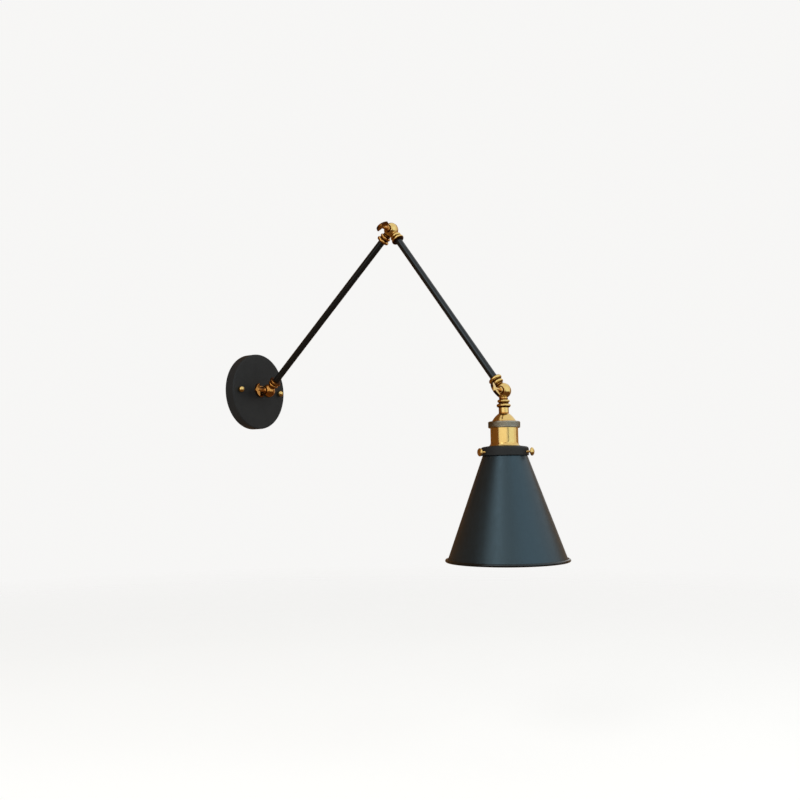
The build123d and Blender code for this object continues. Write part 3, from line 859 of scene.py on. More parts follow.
@dataclass(frozen=True)
class ZincFinish:
    """Zinc plate with faint crystal grains, and dirt in its hollows."""

    name: str
    bright: Colour
    dull: Colour
    dirt: Colour = (0.2, 0.19, 0.17)
    glossy: float = 0.26
    hazy: float = 0.4
    crystal_size: float = 2.4
    haze_size: float = 4.0
    relief_size: float = 0.6
    relief: float = 0.003

    def material(self) -> bpy.types.Material:
        """Makes this finish.

        Returns:
            Its material.
        """
        graph = Graph(bpy.data.materials.new(self.name))
        plate = graph.mix(graph.ranged(graph.cells(self.crystal_size), 0, 1), self.bright, self.dull)
        dirty = graph.ranged(graph.value("recess"), 0, 1, *DIRT_RAMP)
        return graph.shade({
            "Base Color": graph.mix(dirty, plate, self.dirt),
            "Roughness": graph.ranged(graph.noise(self.haze_size, detail=4.0), self.glossy, self.hazy),
            "Normal": graph.bump(graph.noise(self.relief_size, detail=3.0), self.relief),
            "Metallic": 1.0,
        })


@dataclass(frozen=True)
class MouldedFinish:
    """Glazed ceramic, enamel or moulded resin: a smooth body with faint clouds under its gloss."""

    name: str
    body: Colour
    cloud: Colour
    glossy: float
    dull: float
    cloud_size: float
    relief: float
    coat: float = 0.0
    coat_haze: float = 0.08
    dirt: Colour = (0.02, 0.018, 0.016)
    dirt_share: float = 0.5
    gloss_size: float = 3.0
    relief_size: float = 1.6

    def material(self) -> bpy.types.Material:
        """Makes this finish.

        Returns:
            Its material.
        """
        graph = Graph(bpy.data.materials.new(self.name))
        clouds = graph.ranged(graph.noise(self.cloud_size, detail=4.0), 0, 1)
        dirty = graph.ranged(graph.value("recess"), 0, self.dirt_share, *DIRT_RAMP)
        return graph.shade({
            "Base Color": graph.mix(dirty, graph.mix(clouds, self.body, self.cloud), self.dirt),
            "Roughness": graph.ranged(graph.noise(self.gloss_size, detail=3.0), self.glossy, self.dull),
            "Normal": graph.bump(graph.noise(self.relief_size), self.relief),
            "Coat Weight": self.coat,
            "Coat Roughness": self.coat_haze,
        })


class Finishes:
    """One material for each finish of the lamp."""

    def __init__(self) -> None:
        """Makes the materials."""
        # The canopy, arm and shade paints are one black paint in three copies: their darkness, gloss and blue
        # specular tint are painted light and painted reflection, matched to how each part is lit.
        self.canopy_paint = PaintFinish(
            "black_paint_lit_as_canopy", deep=(0.021, 0.0217, 0.0222), lift=(0.026, 0.0265, 0.027),
            glossy=0.42, dull=0.52, mirror=0.14, tint=(0.9, 0.97, 1.0), peel_depth=0.012,
        ).material()
        self.arm_paint = PaintFinish(
            "black_paint_lit_as_arms", deep=(0.0062, 0.006, 0.0059), lift=(0.0078, 0.0076, 0.0075),
            glossy=0.18, dull=0.24, mirror=0.5, tint=(0.75, 0.9, 1.0), peel_depth=0.002,
        ).material()
        self.shade_paint = PaintFinish(
            "black_paint_lit_as_shade", deep=(0.0065, 0.0105, 0.0148), lift=(0.008, 0.0128, 0.0178),
            glossy=0.34, dull=0.42, mirror=0.95, tint=(0.55, 0.83, 1.0), peel_depth=0.008,
        ).material()
        self.brass = MetalFinish(
            "antique_brass_plate", bright=(0.8, 0.58, 0.22), dull=(0.73, 0.51, 0.18), film_and_reflection=(0.6, 0.27, 0.06),
            patina=(0.06, 0.02, 0.005), polish=0.15, haze=0.2, line_depth=0.0005,
        ).material()
        self.pewter = MetalFinish(
            "dull_pewter", bright=(0.43, 0.41, 0.34), dull=(0.35, 0.33, 0.27), film_and_reflection=(0.28, 0.26, 0.21),
            patina=(0.13, 0.115, 0.085), polish=0.26, haze=0.34, line_depth=0.0016,
        ).material()
        self.zinc = ZincFinish("bright_zinc", bright=(0.72, 0.73, 0.75), dull=(0.58, 0.59, 0.6)).material()
        self.porcelain = MouldedFinish(
            "glazed_porcelain", body=(0.84, 0.83, 0.79), cloud=(0.78, 0.77, 0.72),
            glossy=0.16, dull=0.24, cloud_size=6.0, relief=0.01, coat=0.6,
        ).material()
        self.enamel = MouldedFinish(
            "white_enamel", body=(0.8, 0.79, 0.76), cloud=(0.74, 0.73, 0.69),
            glossy=0.3, dull=0.4, cloud_size=22.0, relief=0.012,
        ).material()
        self.bakelite = MouldedFinish(
            "black_bakelite", body=(0.022, 0.019, 0.017), cloud=(0.034, 0.026, 0.02),
            glossy=0.22, dull=0.34, cloud_size=4.0, relief=0.01,
        ).material()


def make_piece(node: str, mesh: bpy.types.Mesh, place: Place, finishes: list[bpy.types.Material],
               chosen: Array | None = None) -> None:
    """Puts a mesh where its node is and lets it stand for that node.

    Args:
        node: Node that the piece replaces.
        mesh: Mesh in local millimetres.
        place: Local frame of the mesh.
        finishes: Materials of the piece.
        chosen: Which finish each face takes, if there are several.
    """
    mesh.transform(place.matrix())
    mesh.materials.clear()
    for finish in finishes:
        mesh.materials.append(finish)
    indices = np.zeros(len(mesh.polygons), np.int32) if chosen is None else chosen.astype(np.int32)
    mesh.polygons.foreach_set("material_index", indices)
    mesh.shade_smooth()
    mesh.set_sharp_from_angle(angle=np.radians(SHARP_ANGLE))
    mesh.update()
    piece = bpy.data.objects.new(f"{node}_finished", mesh)
    mesh.name = piece.name
    bpy.context.scene.collection.objects.link(piece)
    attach(piece, BODY_OF[node])
    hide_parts(node)
    LOG.info("%s: %d faces on %s", piece.name, len(mesh.polygons), BODY_OF[node])


def dress_node(node: str, finish: bpy.types.Material) -> None:
    """Gives a node whose shape is right a better finish.

    Args:
        node: Node that stays.
        finish: Material that it gets.
    """
    for slot in frame["nodes"][node].material_slots:
        slot.material = finish
    LOG.info("%s: kept, with %s", node, finish.name)


@dataclass
class WallBase:
    """Canopy with the strap, studs, ball nuts and threaded pipe; heights run out from the wall."""

    finishes: Finishes
    canopy_radius: float = 60.0
    canopy_depth: float = 16.5
    canopy_wall: float = 1.2
    canopy_edge: float = 2.0
    strap_thickness: float = 1.5
    stud_offset: float = 46.0
    stud_radius: float = 2.0
    stud_end: float = 21.5
    stud_chamfer: float = 0.5
    stud_pitch: float = 0.8
    stud_thread: float = 0.3
    stud_hole: float = 2.2
    stud_nut_flats: float = 7.0
    stud_nut_height: float = 3.2
    ball_radius: float = 4.9
    ball_seat: float = 3.4
    pipe_radius: float = 5.0
    pipe_bore: float = 3.4
    pipe_hole: float = 5.2
    pipe_start: float = 8.8
    pipe_end: float = 23.5
    pipe_pitch: float = 1.0
    pipe_thread: float = 0.4
    pipe_nut_flats: float = 14.0
    pipe_nut_floor: float = 10.3
    pipe_nut_top: float = 13.8

    def pair(self, skin: Skin) -> Skin:
        """A skin at both studs."""
        return skin.moved(-self.stud_offset).joined(skin.moved(self.stud_offset))

    def canopy(self) -> bpy.types.Mesh:
        """Spun cup with a rounded edge, turned from its section, with a hole for each stud.

        Returns:
            Mesh in local millimetres.
        """
        inner, floor = self.canopy_radius - self.canopy_wall, self.canopy_depth - self.canopy_wall
        cup = lathe(rounded([
            (inner, 0, Edge.SOFT), (self.canopy_radius, 0, Edge.SOFT),
            (self.canopy_radius, self.canopy_depth, self.canopy_edge),
            (self.pipe_hole, self.canopy_depth, Edge.PLAIN), (self.pipe_hole, floor, Edge.PLAIN),
            (inner, floor, self.canopy_edge - self.canopy_wall),
        ], steps=12), turns=192)
        start, stop = floor - CUT_ROOM, self.canopy_depth + CUT_ROOM
        hole = lathe(rounded([
            (0, start, 0), (self.stud_hole, start, 0), (self.stud_hole, stop, 0), (0, stop, 0),
        ]), turns=48)
        return carve(cup.mesh(), self.pair(hole).mesh(), Cut.REMOVE)

    def stud(self) -> Skin:
        """Threaded stud with chamfered ends.

        Returns:
            Skin about the stud's own axis.
        """
        tip = self.stud_radius - self.stud_chamfer
        start, stop = self.stud_chamfer, self.stud_end - self.stud_chamfer
        line = rounded([
            (0, 0, 0), (tip, 0, 0), (self.stud_radius, start, 0),
            (self.stud_radius, stop, 0), (tip, self.stud_end, 0), (0, self.stud_end, 0),
        ])
        line = finer(line, self.stud_pitch / ROWS_PER_PITCH, start, stop)
        cut = thread(self.stud_pitch, self.stud_thread, start, stop, self.stud_radius)
        return lathe(line, turns=32, ripple=cut)

    def ball_nut(self) -> Skin:
        """Ball with a flat seat on the canopy and a blind hole for its stud.

        Returns:
            Skin about the nut's own axis.
        """
        hole = self.stud_radius + FIT
        rise = (self.ball_radius**2 - self.ball_seat**2) ** 0.5
        middle = self.canopy_depth + rise
        start = -np.degrees(np.arctan2(rise, self.ball_seat))
        ball = arc((0, middle), self.ball_radius, start, 90, steps=32)
        return lathe(rounded([
            (0, self.stud_end, 0), (hole, self.stud_end, 0), (hole, self.canopy_depth, Edge.PLAIN),
            *ball[:-1], (0, middle + self.ball_radius, 0),
        ]), turns=64)

    def pipe(self) -> Skin:
        """Hollow threaded pipe.

        Returns:
            Skin about the canopy's axis.
        """
        start, stop = self.pipe_start, self.pipe_end
        line = rounded([
            (self.pipe_bore, start, Edge.EASED), (self.pipe_radius, start, Edge.ROUND),
            (self.pipe_radius, stop, Edge.ROUND), (self.pipe_bore, stop, Edge.EASED),
        ])
        line = finer(line, self.pipe_pitch / ROWS_PER_PITCH, start, stop)
        cut = thread(self.pipe_pitch, self.pipe_thread, start, stop, self.pipe_radius)
        return lathe(line, turns=64, ripple=cut)

    def build(self) -> None:
        """Makes and dresses the pieces on the wall."""
        done = self.finishes
        nut_top = self.strap_thickness + self.stud_nut_height
        stud_nut = hex_nut(self.stud_nut_flats, self.stud_radius + FIT, self.strap_thickness, nut_top)
        pipe_bore = self.pipe_radius + FIT
        pipe_nut = hex_nut(self.pipe_nut_flats, pipe_bore, self.pipe_nut_floor, self.pipe_nut_top)
        make_piece("canopy", self.canopy(), WALL_PLACE, [done.canopy_paint])
        pieces = {
            "bracket_studs": (self.pair(self.stud()), done.zinc),
            "stud_lock_nuts": (self.pair(stud_nut), done.zinc),
            "ball_nuts": (self.pair(self.ball_nut()), done.brass),
            "canopy_nipple": (self.pipe(), done.zinc),
            "nipple_lock_nut": (pipe_nut, done.zinc),
        }
        for node, (skin, finish) in pieces.items():
            make_piece(node, skin.mesh(), WALL_PLACE, [finish])
        for node in ("wall_bracket", "earth_screw", "nipple_washer"):
            dress_node(node, done.zinc)


@dataclass(frozen=True)
class Bead:
    """Round bead on a stem: its radius, its distance from the hinge and its thickness."""

    radius: float
    place: float
    thickness: float


@dataclass(frozen=True)
class Stem:
    """Stem of a knuckle half, with its beads in order from the ball."""

    length: float
    socket_depth: float
    beads: tuple[Bead, ...]


@dataclass
class Knuckles:
    """Three clamping knuckles: two half balls on beaded stems each, and a wing screw through both.

    Patina, painted shade and painted reflection sizes are recesses from 0 to 1, and angles of the wings
    are degrees up from outwards.
    """

    finishes: Finishes
    arm_stem: Stem = Stem(22.6, 8.0, (Bead(8.2, 13.9, 4.0), Bead(9.4, 19.8, 4.8)))
    wall_stem: Stem = Stem(18.5, 7.0, (Bead(9.4, 15.7, 4.8),))
    columns: int = 144
    ball_radius: float = 10.6
    ball_edge: float = 0.25
    flat: float = 0.15
    relief: float = 0.7
    stem_root: float = 7.3
    stem_radius: float = 6.6
    neck_radius: float = 5.9
    socket_radius: float = 5.05
    wire_radius: float = 2.6
    track_inner: float = 4.2
    track_outer: float = 7.2
    track_floor: float = 2.75
    pole_radius: float = 5.8
    pole_floor: float = 6.6
    screw_radius: float = 2.5
    screw_tip: float = 7.3
    screw_chamfer: float = 0.4
    screw_pitch: float = 0.8
    screw_thread: float = 0.3
    screw_plain: float = 0.5
    collar_radius: float = 4.6
    collar_floor: float = 6.7
    collar_height: float = 5.2
    screw_neck: float = 2.9
    neck_end: float = 1.4
    wing_floor: float = 20.8
    wing_length: float = 21.8
    wing_width: float = 9.2
    wing_hollow: float = 0.6
    wing_half: float = 1.9
    wing_tip: float = 1.8
    wing_edge: float = 0.6
    wing_margin: float = 0.02
    wing_root: float = 0.1
    hub_end: float = 0.5
    # painted shade on the wing's rim
    wing_rim_painted_shade: float = 0.85
    hub_patina: float = 0.4
    pole_patina: float = 0.6
    seam_fade: float = 0.5
    seat_patina: float = 0.7
    seat_fade: float = 0.9
    # painted shade on the far side of each stem's last bead
    end_painted_shade: float = 0.9
    end_start: float = 0.8
    end_fade: float = 0.6
    line_spread: float = 6.0
    # painted reflection: least recess of the pieces at each hinge, tinting them orange as a brown wall would
    wall_painted_reflection: float = 0.4
    elbow_painted_reflection: float = 0.3
    upper_painted_reflection: float = 0.0
    wall_wing_angle: float = 93.0
    elbow_wing_angle: float = 25.0
    lamp_wing_angle: float = -61.5

    def half_ball(self) -> Skin:
        """Half ball with its pole recess, screw hole and wire track, turned from its section.

        Returns:
            Skin about the x axis.
        """
        hole = self.screw_radius + FIT
        start = np.degrees(np.arcsin(self.flat / self.ball_radius))
        stop = np.degrees(np.arccos(self.pole_radius / self.ball_radius))
        ball = arc((0, 0), self.ball_radius, start, stop, steps=40)
        first, last = (*ball[0][:2], self.ball_edge), (*ball[-1][:2], self.ball_edge)
        return lathe(rounded([
            first, *ball[2:-2], last,
            (self.pole_radius, self.pole_floor, Edge.PLAIN), (hole, self.pole_floor, Edge.FINE),
            (hole, self.flat, 0), (self.track_inner, self.flat, 0), (self.track_inner, self.track_floor, 0),
            (self.track_outer, self.track_floor, 0), (self.track_outer, self.flat, 0),
        ]), self.columns).swung()

    def stem_line(self, stem: Stem) -> Array:
        """Section of a solid stem: neck, round beads and a short lip.

        Args:
            stem: Stem to draw.

        Returns:
            Rows of radius and height.
        """
        line = [(0, self.stem_root, 0), (self.neck_radius, self.stem_root, 0)]
        foot = self.neck_radius
        for bead in stem.beads:
            start = (foot, bead.place - bead.thickness / 2)
            stop = (self.stem_radius, bead.place + bead.thickness / 2)
            line += arc_through(start, (bead.radius, bead.place), stop, steps=24)
            foot = self.stem_radius
        return rounded([*line, (self.stem_radius, stem.length, Edge.CRISP), (0, stem.length, 0)])

    def half(self, stem: Stem) -> bpy.types.Mesh:
        """Half ball on the +X side with its stem along z, hollow for the wires.

        Args:
            stem: Stem that it has.

        Returns:
            Mesh in local millimetres.
        """
        other = self.ball_radius + self.relief
        room = lathe(rounded([
            *arc((0, 0), other, -90, 0, steps=48), (other, self.flat, 0), (0, self.flat, 0),
        ]), self.columns).swung()
        floor, end = stem.length - stem.socket_depth, stem.length + CUT_ROOM
        way = lathe(rounded([
            (0, self.track_inner, 0), (self.wire_radius, self.track_inner, 0), (self.wire_radius, floor, 0),
            (self.socket_radius, floor, 0), (self.socket_radius, end, 0), (0, end, 0),
        ]), turns=96)
        shaft = carve(lathe(self.stem_line(stem), self.columns).mesh(), room.mesh(), Cut.REMOVE)
        whole = carve(self.half_ball().mesh(), shaft, Cut.JOIN)
        made = carve(whole, way.mesh(), Cut.REMOVE)
        self.mark_half(made, stem)
        return made

    def mark_half(self, mesh: bpy.types.Mesh, stem: Stem) -> None:
        """Stores the dark patina and painted shade of a half, and the way along its turning lines.

        A point on the stem takes the recess of the stem's section at its height, and the far side of its
        last bead is darkened as painted shade. On the ball, the pole's recess and a thin edge beside the
        hinge plane are dark.

        Args:
            mesh: Half in local millimetres.
            stem: Stem that it has.
        """
        points = points_of(mesh)
        line = self.stem_line(stem)
        line = line[(line[:, 0] > self.neck_radius - NEAR) & (line[:, 1] > self.stem_root)]
        depth = hollows(line, False)[0]
        off_axis = np.hypot(points[:, 1], points[:, 2])
        away = np.linalg.norm(points, axis=1)
        on_stem = (away > self.ball_radius + NEAR) & (points[:, 2] > self.stem_root)
        seat = np.clip(self.seat_patina - (away - self.ball_radius) / self.seat_fade, 0, 1)
        # painted shade: the far side of the last bead, towards the tube, is darkened
        past = points[:, 2] - stem.beads[-1].place - self.end_start
        end = np.clip(past / self.end_fade, 0, 1) * self.end_painted_shade
        shaft = np.maximum.reduce((np.interp(points[:, 2], line[:, 1], depth), seat, end))
        pole = (off_axis < self.pole_radius + NEAR) & (points[:, 0] < self.ball_radius)
        seam = np.clip(1 - (points[:, 0] - self.flat) / self.seam_fade, 0, 1)
        ball = np.maximum(seam, np.where(pole, self.pole_patina, 0.0))
        store(mesh, "recess", np.where(on_stem, shaft, ball))
        lines = np.degrees(np.arctan2(off_axis, points[:, 0])) / self.line_spread
        store(mesh, "along", np.where(on_stem, points[:, 2], lines))

    def wing(self) -> Skin:
        """Half-moon wing: its outline drawn in and raised along a rounded edge section.

        The outline has an outer arc, an inner arc bowed the same way, and a small arc at each tip that is
        tangent to both. A point is outline - normal x inset(v), at height(v) through the thickness.

        Returns:
            Skin in the screw's frame, with the outline in its x and z and the thickness in y.
        """
        reach = self.wing_length / 2
        outer = (reach**2 + self.wing_width**2) / (2 * self.wing_width)
        inner = (reach**2 + self.wing_hollow**2) / (2 * self.wing_hollow)
        outer_z, inner_z = self.wing_width - outer, self.wing_hollow - inner
        near, far = outer - self.wing_tip, inner + self.wing_tip
        tip_z = (near**2 - far**2 - outer_z**2 + inner_z**2) / (2 * (inner_z - outer_z))
        tip_x = (near**2 - (tip_z - outer_z) ** 2) ** 0.5
        upper = np.arctan2(tip_z - outer_z, tip_x)
        lower = np.arctan2(tip_z - inner_z, tip_x)
        # centre, radius and angles of each arc, and the side of it that is outside
        arcs = [
            (0.0, outer_z, outer, np.linspace(upper, np.pi - upper, 48), 1),
            (-tip_x, tip_z, self.wing_tip, np.linspace(np.pi - upper, 2 * np.pi - lower, 16), 1),
            (0.0, inner_z, inner, np.linspace(np.pi - lower, lower, 32), -1),
            (tip_x, tip_z, self.wing_tip, np.linspace(lower - np.pi, upper, 16), 1),
        ]
        edge, normal = [], []
        for x, z, radius, turn, side in arcs:
            way = np.stack((np.cos(turn), np.sin(turn)), 1)[:-1]
            edge.append(np.array([x, z]) + radius * way)
            normal.append(side * way)
        edge, normal = np.vstack(edge), np.vstack(normal)
        bend = np.radians(np.linspace(0, 90, 7))
        inset = self.wing_edge * (1 - np.sin(bend))
        rise = self.wing_edge * (1 - np.cos(bend)) - self.wing_half
        support = [self.wing_edge + EDGE_SUPPORT]
        inset = np.concatenate((support, inset, inset[::-1], support))
        rise = np.concatenate(([-self.wing_half], rise, -rise[::-1], [self.wing_half]))
        flat = edge[None] - normal[None] * inset[:, None, None]
        height = np.repeat(rise[:, None], len(edge), 1)
        points = np.stack((flat[:, :, 0], height, flat[:, :, 1] + self.wing_floor), 2).reshape(-1, 3)
        index = np.arange(len(points)).reshape(len(inset), len(edge))
        sides = turned_over(grid_faces(index, False))
        still = np.zeros(len(points))
        return Skin(points, [sides, index[:1], index[-1:, ::-1]], still, still)

    def wing_screw(self) -> bpy.types.Mesh:
        """Screw with a threaded shank, a collar, a neck and a wing.

        Returns:
            Mesh about the screw's own axis, which points out to the wing.
        """
        neck_floor = self.collar_floor + self.collar_height
        neck_top = self.wing_floor + (self.wing_hollow + self.wing_width) / 2
        line = rounded([
            (0, -self.screw_tip, 0), (self.screw_radius - self.screw_chamfer, -self.screw_tip, 0),
            (self.screw_radius, self.screw_chamfer - self.screw_tip, 0),
            (self.screw_radius, self.collar_floor, Edge.FINE),
            (self.collar_radius, self.collar_floor, Edge.EASED),
            (self.collar_radius, neck_floor, self.collar_radius - self.screw_neck),
            (self.screw_neck, neck_floor, Edge.EASED), (self.screw_neck, neck_top, self.neck_end),
            (0, neck_top, 0),
        ], steps=8)
        start, stop = -self.screw_tip, self.collar_floor - self.screw_plain
        line = finer(line, self.screw_pitch / ROWS_PER_PITCH, start, stop - self.screw_plain)
        cut = thread(self.screw_pitch, self.screw_thread, start, stop, self.screw_radius)
        screw = lathe(line, turns=64, ripple=cut)
        made = carve(screw.mesh(), self.wing().mesh(), Cut.JOIN)
        self.mark_screw(made, screw)
        return made

    def mark_screw(self, mesh: bpy.types.Mesh, screw: Skin) -> None:
        """Stores the dark patina and painted shade of a wing screw, and the way along its turning lines.

        A point near the axis takes the recess of the turned screw at its height, and the wing's rim is
        darkened as painted shade.

        Args:
            mesh: Wing screw in local millimetres.
            screw: The turned screw without its wing.
        """
        points = points_of(mesh)
        order = np.argsort(screw.points[:, 2])
        hub = np.interp(points[:, 2], screw.points[order, 2], screw.recess[order]) * self.hub_patina
        off_axis = np.hypot(points[:, 0], points[:, 1])
        on_hub = (off_axis < self.collar_radius + NEAR) & (points[:, 2] < self.wing_floor - self.hub_end)
        between_faces = np.abs(points[:, 1]) < self.wing_half - self.wing_margin
        # painted shade: the rim between the wing's faces is darkened
        on_shaded_rim = between_faces & (off_axis > self.screw_neck + self.wing_root)
        store(mesh, "recess", np.where(on_hub, hub, np.where(on_shaded_rim, self.wing_rim_painted_shade, 0.0)))
        store(mesh, "along", points[:, 2])

    def build(self) -> None:
        """Makes the halves and wing screws at all three hinges."""
        far, wall = self.half(self.arm_stem), self.half(self.wall_stem)
        near = far.copy()
        near.transform(Matrix.Scale(-1, 4, ACROSS))
        near.flip_normals()
        halves = {
            "wall_knuckle": (wall, WALL_HINGE, -OUT, self.wall_painted_reflection),
            "lower_arm_root": (near, WALL_HINGE, LOWER_WAY, self.wall_painted_reflection),
            "lower_arm_tip": (far, ELBOW_HINGE, -LOWER_WAY, self.elbow_painted_reflection),
            "upper_arm_root": (near, ELBOW_HINGE, UPPER_WAY, self.upper_painted_reflection),
            "upper_arm_tip": (far, LAMP_HINGE, -UPPER_WAY, self.upper_painted_reflection),
            "head_knuckle": (near, LAMP_HINGE, DOWN, self.upper_painted_reflection),
        }
        # each half gets the painted reflection of its hinge
        for node, (half, hinge, way, film_and_reflection) in halves.items():
            make_piece(node, with_painted_reflection(half, film_and_reflection), Place(hinge, ACROSS, way), [self.finishes.brass])
        screw = self.wing_screw()
        wings = {
            "wall_wing_screw": (WALL_HINGE, self.wall_wing_angle, self.wall_painted_reflection),
            "elbow_wing_screw": (ELBOW_HINGE, self.elbow_wing_angle, self.elbow_painted_reflection),
            "lamp_wing_screw": (LAMP_HINGE, self.lamp_wing_angle, self.upper_painted_reflection),
        }
        # each wing screw gets the painted reflection of its hinge
        for node, (hinge, angle, film_and_reflection) in wings.items():
            lie = Vector((0, -np.cos(np.radians(angle)), np.sin(np.radians(angle))))
            make_piece(node, with_painted_reflection(screw, film_and_reflection), Place(hinge, lie, -ACROSS), [self.finishes.brass])


@dataclass
class Arms:
    """Two straight tubes between the knuckles."""

    finishes: Finishes
    radius: float = 5.0
    bore: float = 4.0
    inset: float = 14.6

    def tube(self, length: float) -> Skin:
        """Tube with softened ends, turned from its section.

        Args:
            length: Distance between the hinges at its ends.

        Returns:
            Skin along z from one hinge.
        """
        end = length - self.inset
        return lathe(rounded([
            (self.bore, self.inset, Edge.EASED), (self.radius, self.inset, Edge.EASED),
            (self.radius, end, Edge.EASED), (self.bore, end, Edge.EASED),
        ]), turns=96)

    def build(self) -> None:
        """Makes both tubes."""
        spans = {"lower_arm_tube": (WALL_HINGE, ELBOW_HINGE), "upper_arm_tube": (ELBOW_HINGE, LAMP_HINGE)}
        for node, (start, stop) in spans.items():
            way = stop - start
            place = Place(start, ACROSS, way.normalized())
            make_piece(node, self.tube(way.length).mesh(), place, [self.finishes.arm_paint])


@dataclass
class LampHolder:
    """Cap, coupling ring, shell and inner parts of the holder; heights run down from the lamp hinge.

    Patina sizes are the share that is left of a piece's patina, and rows are the spacing on its section.
    """

    finishes: Finishes
    neck_radius: float = 6.7
    neck_bore: float = 5.05
    neck_rows: float = 0.5
    cap_top: float = 22.6
    cap_wall: float = 0.9
    cap_patina: float = 0.5
    dome_top: float = 30.2
    dome_radius: float = 16.2
    dome_bulge: float = 0.9
    skirt_radius: float = 17.0
    ring_top: float = 41.1
    ring_floor: float = 49.6
    ring_radius: float = 21.2
    ring_chamfer: float = 0.8
    ring_plain: float = 0.5
    ring_rows: float = 0.3
    ring_teeth: int = 120
    ring_tooth: float = 0.16
    columns_per_tooth: int = 6
    core_top: float = 47.5
    shell_radius: float = 18.4
    shell_wall: float = 0.7
    shell_patina: float = 0.3
    flare_top: float = 68.4
    foot_radius: float = 20.7
    foot_edge: float = 0.12
    fitter_top: float = 73.4
    lip_radius: float = 16.6
    sleeve_radius: float = 16.4
    sleeve_bore: float = 14.4
    sleeve_top: float = 54.5
    sleeve_end: float = 88.35
    sleeve_pitch: float = 2.0
    sleeve_thread: float = 0.6
    sleeve_plain: float = 0.6
    sleeve_rows: float = 0.25
    flange_radius: float = 17.3
    flange_top: float = 70.7
    flange_floor: float = 72.7
    socket_radius: float = 13.25
    socket_wall: float = 0.5
    socket_end: float = 80.5
    socket_hole: float = 6.5
    socket_pitch: float = 3.6
    socket_swell: float = 0.5
    socket_rows: float = 0.36
    socket_lead: float = 1.0
    socket_plain: float = 0.3
    ring_nut_radius: float = 20.4
    ring_nut_top: float = 74.4
    ring_nut_floor: float = 78.4
    ring_nut_notch: float = 1.2
    ring_nut_notches: int = 6
    notch_reach: float = 0.45

    def dome(self, inset: float) -> list[Corner]:
        """Arc of the dome from neck to ring, swelling past the straight line between them.

        Args:
            inset: How far it is drawn in, for the inside.

        Returns:
            Corners from top to foot.
        """
        top = np.array([self.neck_radius, self.dome_top + inset])
        foot = np.array([self.dome_radius - inset, self.ring_top])
        along = (foot - top) / np.linalg.norm(foot - top)
        middle = (top + foot) / 2 + np.array([along[1], -along[0]]) * self.dome_bulge
        return arc_through(tuple(top), tuple(middle), tuple(foot), steps=24)

    def cap(self) -> Skin:
        """Neck, dome and skirt, turned from one section.

        Returns:
            Skin about the lamp's axis.
        """
        inner_foot = self.dome_radius - self.cap_wall
        line = rounded([
            (self.neck_bore, self.cap_top, Edge.PLAIN), (self.neck_radius, self.cap_top, Edge.SOFT),
            *self.dome(0), (self.skirt_radius, self.ring_top, Edge.PLAIN),
            (self.skirt_radius, self.core_top, Edge.PLAIN), (inner_foot, self.core_top, Edge.PLAIN),
            *self.dome(self.cap_wall)[::-1], (self.neck_bore, self.dome_top + self.cap_wall, Edge.PLAIN),
        ])
        line = finer(line, self.neck_rows, self.cap_top, self.dome_top)
        return lathe(line, turns=144).faint(self.cap_patina)

    def ring(self) -> Skin:
        """Coupling ring with chamfered edges and a straight knurl on its rim.

        Returns:
            Skin about the lamp's axis.
        """
        edge = self.ring_radius - self.ring_chamfer
        skirt, shell = self.skirt_radius + FIT, self.shell_radius + FIT
        top, floor = self.ring_top + self.ring_chamfer, self.ring_floor - self.ring_chamfer
        line = rounded([
            (skirt, self.ring_top, Edge.CRISP), (edge, self.ring_top, Edge.PLAIN),
            (self.ring_radius, top, Edge.PLAIN), (self.ring_radius, floor, Edge.PLAIN),
            (edge, self.ring_floor, Edge.PLAIN), (shell, self.ring_floor, Edge.CRISP),
            (shell, self.core_top, 0), (skirt, self.core_top, 0),
        ], steps=3)
        start, stop = top + self.ring_plain, floor - self.ring_plain
        cut = knurl(self.ring_teeth, self.ring_tooth, start, stop, self.ring_radius)
        return lathe(finer(line, self.ring_rows, start, stop), self.columns_per_tooth * self.ring_teeth, cut)

    def shell(self) -> Skin:
        """Sleeve whose foot flares out along an arc that starts straight down.

        Returns:
            Skin about the lamp's axis.
        """
        out, drop = self.foot_radius - self.shell_radius, self.fitter_top - self.flare_top
        bend = (out**2 + drop**2) / (2 * out)
        stop = 180 - np.degrees(np.arcsin(drop / bend))
        flare = arc((self.shell_radius + bend, self.flare_top), bend, 180, stop, steps=14)
        inner, lip = self.shell_radius - self.shell_wall, self.fitter_top - self.shell_wall
        return lathe(rounded([
            (inner, self.core_top, Edge.FINE), (self.shell_radius, self.core_top, Edge.PLAIN), *flare[:-1],
            (self.foot_radius, self.fitter_top, self.foot_edge),
            (self.lip_radius, self.fitter_top, Edge.FINE),
            (self.lip_radius, lip, Edge.FINE), (inner, lip, Edge.FINE),
        ]), turns=160).faint(self.shell_patina)

    def sleeve(self) -> Skin:
        """Insulating tube with a flange, threaded outside below the fitter.

        Returns:
            Skin about the lamp's axis.
        """
        line = rounded([
            (self.sleeve_bore, self.sleeve_top, Edge.EASED),
            (self.sleeve_radius, self.sleeve_top, Edge.EASED),
            (self.sleeve_radius, self.flange_top, Edge.FINE),
            (self.flange_radius, self.flange_top, Edge.PLAIN),
            (self.flange_radius, self.flange_floor, Edge.PLAIN),
            (self.sleeve_radius, self.flange_floor, Edge.FINE),
            (self.sleeve_radius, self.sleeve_end, Edge.FULL), (self.sleeve_bore, self.sleeve_end, Edge.FULL),
        ])
        start, stop = self.ring_nut_top, self.sleeve_end - self.sleeve_plain
        cut = thread(self.sleeve_pitch, self.sleeve_thread, start, stop, self.sleeve_radius)
        return lathe(finer(line, self.sleeve_rows, start, self.sleeve_end), turns=120, ripple=cut)

